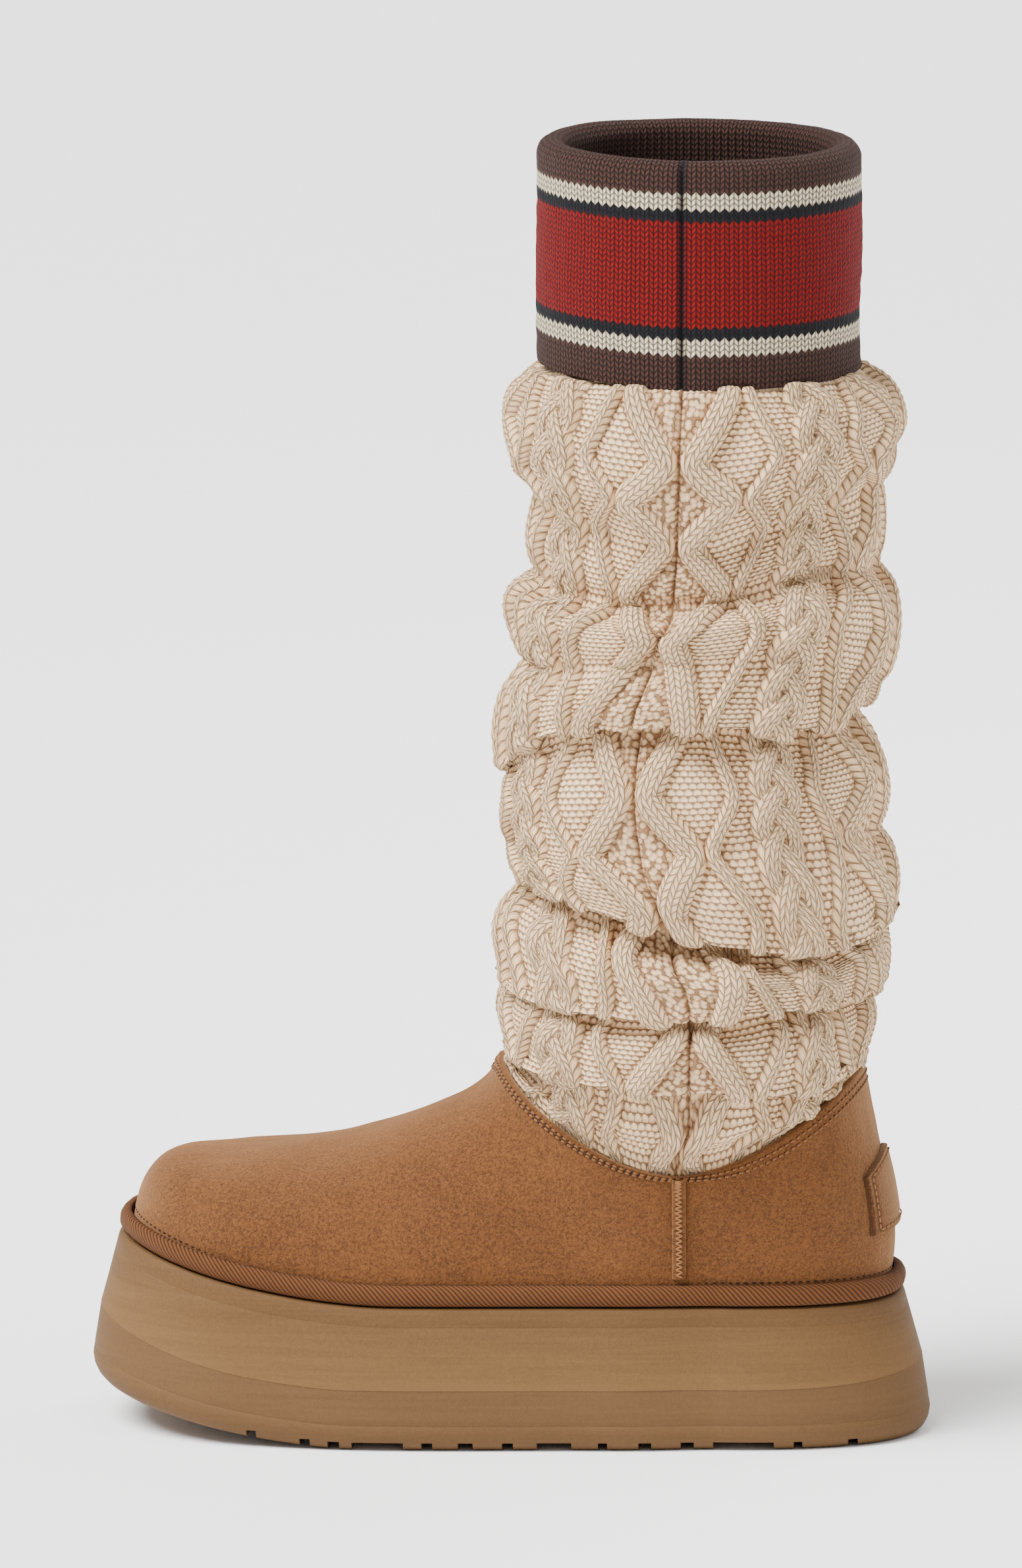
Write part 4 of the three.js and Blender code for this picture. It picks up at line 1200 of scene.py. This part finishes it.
def strand(path, half_width, height, wales, lift_at=None):
    """A raised strand of V stitches along a path of the fabric: its points, stitch counts and a field of
    painted shade towards its edges.
    """
    down = np.arange(STRAND_START, FABRIC_LENGTH - STRAND_END_GAP, ROW / 4)
    middle = path(down)
    slope = np.gradient(middle, down)
    long = np.sqrt(1 + slope**2)
    along = running((long[1:] + long[:-1]) / 2 * np.diff(down))
    down, middle, slope, long, along = (row[:, None] for row in (down, middle, slope, long, along))
    a = np.linspace(-1, 1, 4 * wales + 1)
    far = np.abs(a)
    u = (a + 1) / 2 * wales
    loops = WALE_RIDGE * np.abs(np.sin(math.pi * u)) + LOOP_RIDGE * np.abs(np.sin(math.pi * along / ROW))
    lift = height * (1 - far**2.4) ** 0.62 + loops * (1 - far**6) - 0.9 * far**8
    if lift_at is not None:
        lift = lift + lift_at(down) * (1 - far**4)
    points = fabric(middle + a * half_width / long, down - a * half_width * slope / long, lift)
    stitch = np.stack(np.broadcast_arrays(u, along / ROW), -1)
    # far**7 is a painted shade field that darkens the strand towards its edges
    return points, stitch, np.broadcast_to(far**7, lift.shape)


def add_strands(name, parts, material):
    faces, start = [], 0
    for points, _, _ in parts:
        rows, columns = points.shape[:2]
        faces.append(grid_faces(rows, columns, False, start=start))
        start += rows * columns
    verts, uv, edge_shade = (np.concatenate([part.ravel() for part in kind]) for kind in zip(*parts))
    piece = add_mesh(name, verts, np.concatenate(faces), uv)
    # The edge field is the strands' painted edge shade
    add_field(piece, "edge", edge_shade)
    dress(piece, material, "cream_knit")


def make_trellis(name, middle, material):
    """Two wide strands that touch and part, and a thin one on either side of them."""
    parts = []
    for side in (-1, 1):
        parts.append(strand(lambda down: middle + side * inner_strand(down), WIDE_HALF, 3.4, 3))
        parts.append(strand(lambda down: middle + side * outer_strand(down), THIN_HALF, 2.6, 2))
    add_strands(name, parts, material)


def make_plait(name, middle, material):
    """Three strands that swing over and under each other."""
    def turn(down, k):
        return 2 * math.pi * (down / PLAIT_PERIOD + k / 3)

    parts = [strand(lambda down: middle + PLAIT_SWING * np.sin(turn(down, k)), PLAIT_STRAND_HALF, 3.1, 3,
                    lambda down: 1.1 * np.sin(2 * turn(down, k))) for k in range(3)]
    add_strands(name, parts, material)


BASE_STEP = 1.15
KNOT_WIDTH = 4.6
KNOT_HEIGHT = 5.2
HOLLOW = 1.3  # width of the hollow beside a strand, sunk and darkened with painted shade


def make_ground(name, start, end, material):
    """The purl ground of one panel, seam to seam, with moss knots inside the trellis' diamonds."""
    down, around = np.meshgrid(np.arange(0, FABRIC_LENGTH, BASE_STEP),
                               np.linspace(start, end, int((end - start) / BASE_STEP)), indexing="ij")
    from_middle = np.abs((around + MOTIF / 2) % MOTIF - MOTIF / 2)
    moss = smooth((inner_strand(down) - 3 - from_middle) / 2)
    shift = math.pi * np.floor(2 * down / KNOT_HEIGHT)
    knot = np.sin(2 * math.pi * around / KNOT_WIDTH + shift) * np.sin(2 * math.pi * down / KNOT_HEIGHT)
    seam = bell(np.minimum(np.abs(around), np.abs(np.abs(around) - ROUND / 2)), 1.1)
    # near marks the hollows beside the strands and the plait, which sink and darken with painted shade, and
    # the side seams as a dark line
    near = np.maximum(seam, bell(np.abs(from_middle - MOTIF / 2) - PLAIT_HALF_WIDTH, HOLLOW))
    for path, half_width in ((inner_strand, WIDE_HALF), (outer_strand, THIN_HALF)):
        long = np.sqrt(1 + (path(down + 0.5) - path(down - 0.5)) ** 2)
        near = np.maximum(near, bell(np.abs(from_middle - path(down)) - half_width * long, HOLLOW))
    lift = moss * (0.4 + 0.8 * np.abs(knot)) - 0.7 * near - 1.6 * seam
    lift = lift + 0.35 * waves(fabric(around, down), 14, 7)
    uv = np.stack([around / PURL_WALE, -down / PURL_ROW], -1)
    piece = add_grid(name, fabric(around, down, lift), wrap_columns=False, uv=uv)
    add_field(piece, "moss", moss)
    # The edge field carries that painted shade to the material
    add_field(piece, "edge", near)
    dress(piece, material, "cream_knit", "sweater_shaft")


INSIDE_ROWS = 6
INSIDE_COLUMNS = 2
INSIDE_BLUR = 24


def make_inside(material):
    """The plain inner face of the shaft, with more room behind the fabric's turn at the collar."""
    inner = blurred(fabric_grid, INSIDE_BLUR)[::INSIDE_ROWS, ::INSIDE_COLUMNS]
    normal = unit(blurred(fabric_normals, INSIDE_BLUR)[::INSIDE_ROWS, ::INSIDE_COLUMNS])
    down = np.arange(len(inner)) * INSIDE_ROWS * FABRIC_STEP
    deep = KNIT_WALL + 1.5 + 4 * bell(down - COLLAR_DOWN, 14)
    around = np.arange(inner.shape[1]) * INSIDE_COLUMNS * ROUND / FABRIC_ANGLES
    uv = np.stack(np.meshgrid(around / WALE, down / ROW), -1)
    piece = add_grid("shaft_inside", inner - normal * deep[:, None, None], uv=uv, flip=True)
    dress(piece, material, "cream_knit")


# The cuff

CUFF_WALE = 3.1
CUFF_ROW = 1.85
CUFF_SEAM_ANGLE = math.pi / 2 - 0.034
CUFF_SIDE_DROP = 1.4  # the band sits lower at the outer side than at the inner one
CUFF_FRONT_LIFT = 2.6
BROWN = (0.063, 0.026, 0.0183)
PALE = (0.82, 0.69, 0.48)
NAVY = (0.007, 0.006, 0.01)
RED = (0.225, 0.0, 0.0)
# Rows of stitches below each stripe, and the stripe's colour
STRIPES = [
    (0, BROWN),
    (6, PALE),
    (9, NAVY),
    (11, RED),
    (30, NAVY),
    (32, PALE),
    (35, BROWN),
]


WALE_COLUMNS = 5


def make_cuff(material):
    """The doubled band: outer face, rolled rim and inner face. u counts wales, v counts rows."""
    rim = CUFF_RIM / 2
    shoulder = CUFF_HEIGHT - rim
    path = []
    for z in np.arange(-0.2, shoulder, 0.62):
        path.append((CUFF_RADIUS + 0.3 * math.sin(math.pi * z / CUFF_HEIGHT), z))
    for turn in np.radians(np.arange(0, 181, 6)):
        path.append((CUFF_RADIUS - rim + rim * math.cos(turn), shoulder + rim * math.sin(turn)))
    rim_end = len(path)
    for z in np.arange(shoulder - 1.5, 10, -2.0):
        narrow = float(smooth((shoulder - z) / CUFF_HEIGHT * 1.4))
        path.append((CUFF_RADIUS - lerp(CUFF_RIM, CUFF_WALL, narrow), z))
    path = np.array(path + [(CUFF_RADIUS - CUFF_WALL + 0.1, z) for z in (9, 4, 1, 0.2)])
    along = running(steps(path))
    columns = int(2 * math.pi * CUFF_RADIUS / CUFF_WALE) * WALE_COLUMNS
    count = np.arange(columns + 1)
    turned, radius = np.meshgrid(CUFF_SEAM_ANGLE + count * 2 * math.pi / columns, path[:, 0])
    up = path[:, 1:]
    z = CUFF_BOTTOM + up - CUFF_SIDE_DROP * np.sin(turned)
    z = z + CUFF_FRONT_LIFT * np.maximum(np.cos(turned), 0) * (1 - up / 120)
    points = shaft_point(turned, radius, z)
    uneven = waves(points, 40, 8) * 0.35 + waves(points, 9, 9) * 0.14
    ridge = 0.16 * np.abs(np.sin(math.pi * count / WALE_COLUMNS))
    seam = np.minimum(count, columns - count) / columns * 2 * math.pi * CUFF_RADIUS
    outer = smooth((rim_end - np.arange(len(path))) / 8)[:, None]
    points = shaft_point(turned, radius + ridge + (uneven - 1.6 * bell(seam, 0.9)) * outer, z + uneven * 0.4)
    uv = np.stack(np.meshgrid(count / WALE_COLUMNS, (along - 0.2) / CUFF_ROW), -1)
    piece = add_grid("striped_cuff", points, wrap_columns=False, uv=uv, flip=True)
    add_field(piece, "seam", bell(seam, 1.15) * outer)
    dress(piece, material, "cuff_knit", "cuff")


def cuff_material(name):
    """V stitches whose rows change colour, in painted shade between the stitches, and a dark line at the
    mesh's seam field.
    """
    nodes = Nodes(name)
    height, row = plain_stitch(nodes, *loose_stitch(nodes, 0.3, 0.12, 0.2))
    top = CUFF_HEIGHT * 2 / CUFF_ROW
    # The bands are sampled coarsely, so each starts half a row early
    stops = [(max(rows - 0.5, 0) / top, colour) for rows, colour in STRIPES]
    colour = nodes.bands(nodes.math("DIVIDE", row.whole(), top), stops)
    hair = nodes.noise(2.6, 3.0, roughness=0.7)
    shade = (height * 2.4 + (hair - 0.5) * 1.6 - 1.05).clipped()
    # Painted shade: a darker copy of each stripe's colour for the gaps between the stitches
    stitch_gap_shade = nodes.mix(0.8, colour, (0.0, 0.0, 0.0))
    surface = nodes.mix(nodes.field("seam"), nodes.mix(shade, stitch_gap_shade, colour), (0.003, 0.003, 0.005))
    return nodes.finish(surface, 0.95, nodes.bump(height, 1.3, under=nodes.bump(hair, HAIR_DEPTH)))


# Camera, floor and light

CAMERA_DISTANCE = 4.2
CAMERA_AZIMUTH = math.radians(5)
CAMERA_ELEVATION = math.radians(9.6)
CAMERA_TARGET = Vector((0, 0, 0.2165))
LENS = 288.8
FLOOR_HALF = 40  # this and the light's sizes and places are in metres
PANEL_SIZE = 0.8
SUN_ANGLE = 35


def make_camera():
    turn = Euler((math.pi / 2 - CAMERA_ELEVATION, 0, CAMERA_AZIMUTH)).to_matrix()
    place = CAMERA_TARGET + turn.col[2] * CAMERA_DISTANCE
    camera = add_object("camera", bpy.data.cameras.new("camera"))
    camera.matrix_world = Matrix.Translation(place) @ turn.to_4x4()
    camera.data.sensor_width = 36
    camera.data.lens = LENS
    camera.data.clip_end = 100
    bpy.context.scene.camera = camera


def make_stage():
    far = FLOOR_HALF / MM
    corners = [(-far, -far, 0), (far, -far, 0), (far, far, 0), (-far, far, 0)]
    floor = add_mesh("floor", corners, [[0, 1, 2, 3]])
    nodes = Nodes("floor_paint")
    grain = nodes.noise(0.02, 2.0)
    floor.data.materials.append(nodes.finish(nodes.mix(grain, (0.93, 0.93, 0.93), (0.95, 0.95, 0.95)), 0.9))


def add_light(name, kind, power, place, aim):
    """A light at a place that shines towards a point."""
    light = add_object(name, bpy.data.lights.new(name, kind))
    light.data.energy = power
    light.location = place
    light.rotation_euler = (Vector(aim) - Vector(place)).to_track_quat("-Z", "Y").to_euler()
    if kind == "AREA":
        light.data.shape = "RECTANGLE"
        light.data.size = light.data.size_y = PANEL_SIZE
    else:
        light.data.angle = math.radians(SUN_ANGLE)


def make_lights():
    world = bpy.data.worlds.new("studio")
    world.use_nodes = True
    sky = world.node_tree.nodes["Background"].inputs
    sky["Color"].default_value = (1, 1, 1, 1)
    sky["Strength"].default_value = 0.8
    bpy.context.scene.world = world
    leg = (0, 0, 0.2)
    add_light("key", "AREA", 26, (-1.5, -1.1, 1.9), leg)
    add_light("top", "SUN", 7.7, (0, 0, 0), (0.5, 0.36, -1))
    add_light("back", "AREA", 16, (1.0, 1.2, 1.2), leg)
    add_light("fill", "AREA", 7, (1.8, -0.6, 0.9), leg)


def build():
    suede = suede_material("suede", (0.144, 0.0512, 0.0122), (0.046, 0.014, 0.0031))
    bare = suede_material("patch_suede", (0.128, 0.046, 0.0115), (0.038, 0.011, 0.0026), 0.8, edge_shade=True)
    tan = thread_material("tan_thread", (0.3, 0.135, 0.05))
    collar_thread = thread_material("collar_thread", (0.235, 0.1, 0.036))
    # Painted shade: near-black capsules that stand for the shade inside the needle holes
    hole_shade = thread_material("needle_hole_shade", (0.02, 0.007, 0.003))
    knit_v = knit_v_material("cream_v_knit")
    knit_purl = knit_purl_material("cream_purl_knit")

    make_outsole(foam_material("tread", (0.115, 0.059, 0.0207), (0.083, 0.0402, 0.0127)))
    make_midsole(foam_material("foam", (0.134, 0.069, 0.023), (0.086, 0.0415, 0.0124), fade=0.8))
    make_insole(fleece_material("fleece", linear(226, 206, 176)))
    make_welt(twill_material("twill", (0.124, 0.0425, 0.0098), (0.016, 0.0048, 0.0011)))
    make_upper(suede)
    make_side_seam("side_seam_outer", "side_seam_lateral", -1, suede, tan)
    make_side_seam("side_seam_inner", "side_seam_medial", 1, suede, tan)
    make_patch(bare, tan)
    for name, drop in (("high", 2.2), ("low", 4.8)):
        def collar_row(angle):
            return 1 - share_of_column(drop, angle)

        dress(row_of_stitches("collar_stitches_" + name, collar_row, 0.14, 2.4, 0.42), collar_thread, "suede")
        dress(row_of_stitches("collar_holes_" + name, collar_row, 0.0, 2.4, 0.5, 0.8, 1.2), hole_shade, "suede")

    def welt_row(angle):
        return share_of_column(WELT_HEIGHT + 0.9, angle)

    # The welt's stitch line is a row of these painted-shade holes
    dress(row_of_stitches("welt_stitches", welt_row, -0.1, 2.6, 0.28, 0.25, 0.8), hole_shade, "suede")
    make_ground("knit_back_panel", 0, ROUND / 2, knit_purl)
    make_ground("knit_front_panel", -ROUND / 2, 0, knit_purl)
    for k, name in enumerate(("outer_side", "back", "inner_side", "front")):
        make_trellis("trellis_" + name, k * MOTIF, knit_v)
        make_plait("plait_" + name, (k + 0.5) * MOTIF, knit_v)
    make_inside(knit_v)
    make_cuff(cuff_material("cuff_knit"))


make_camera()
make_stage()
make_lights()
build()
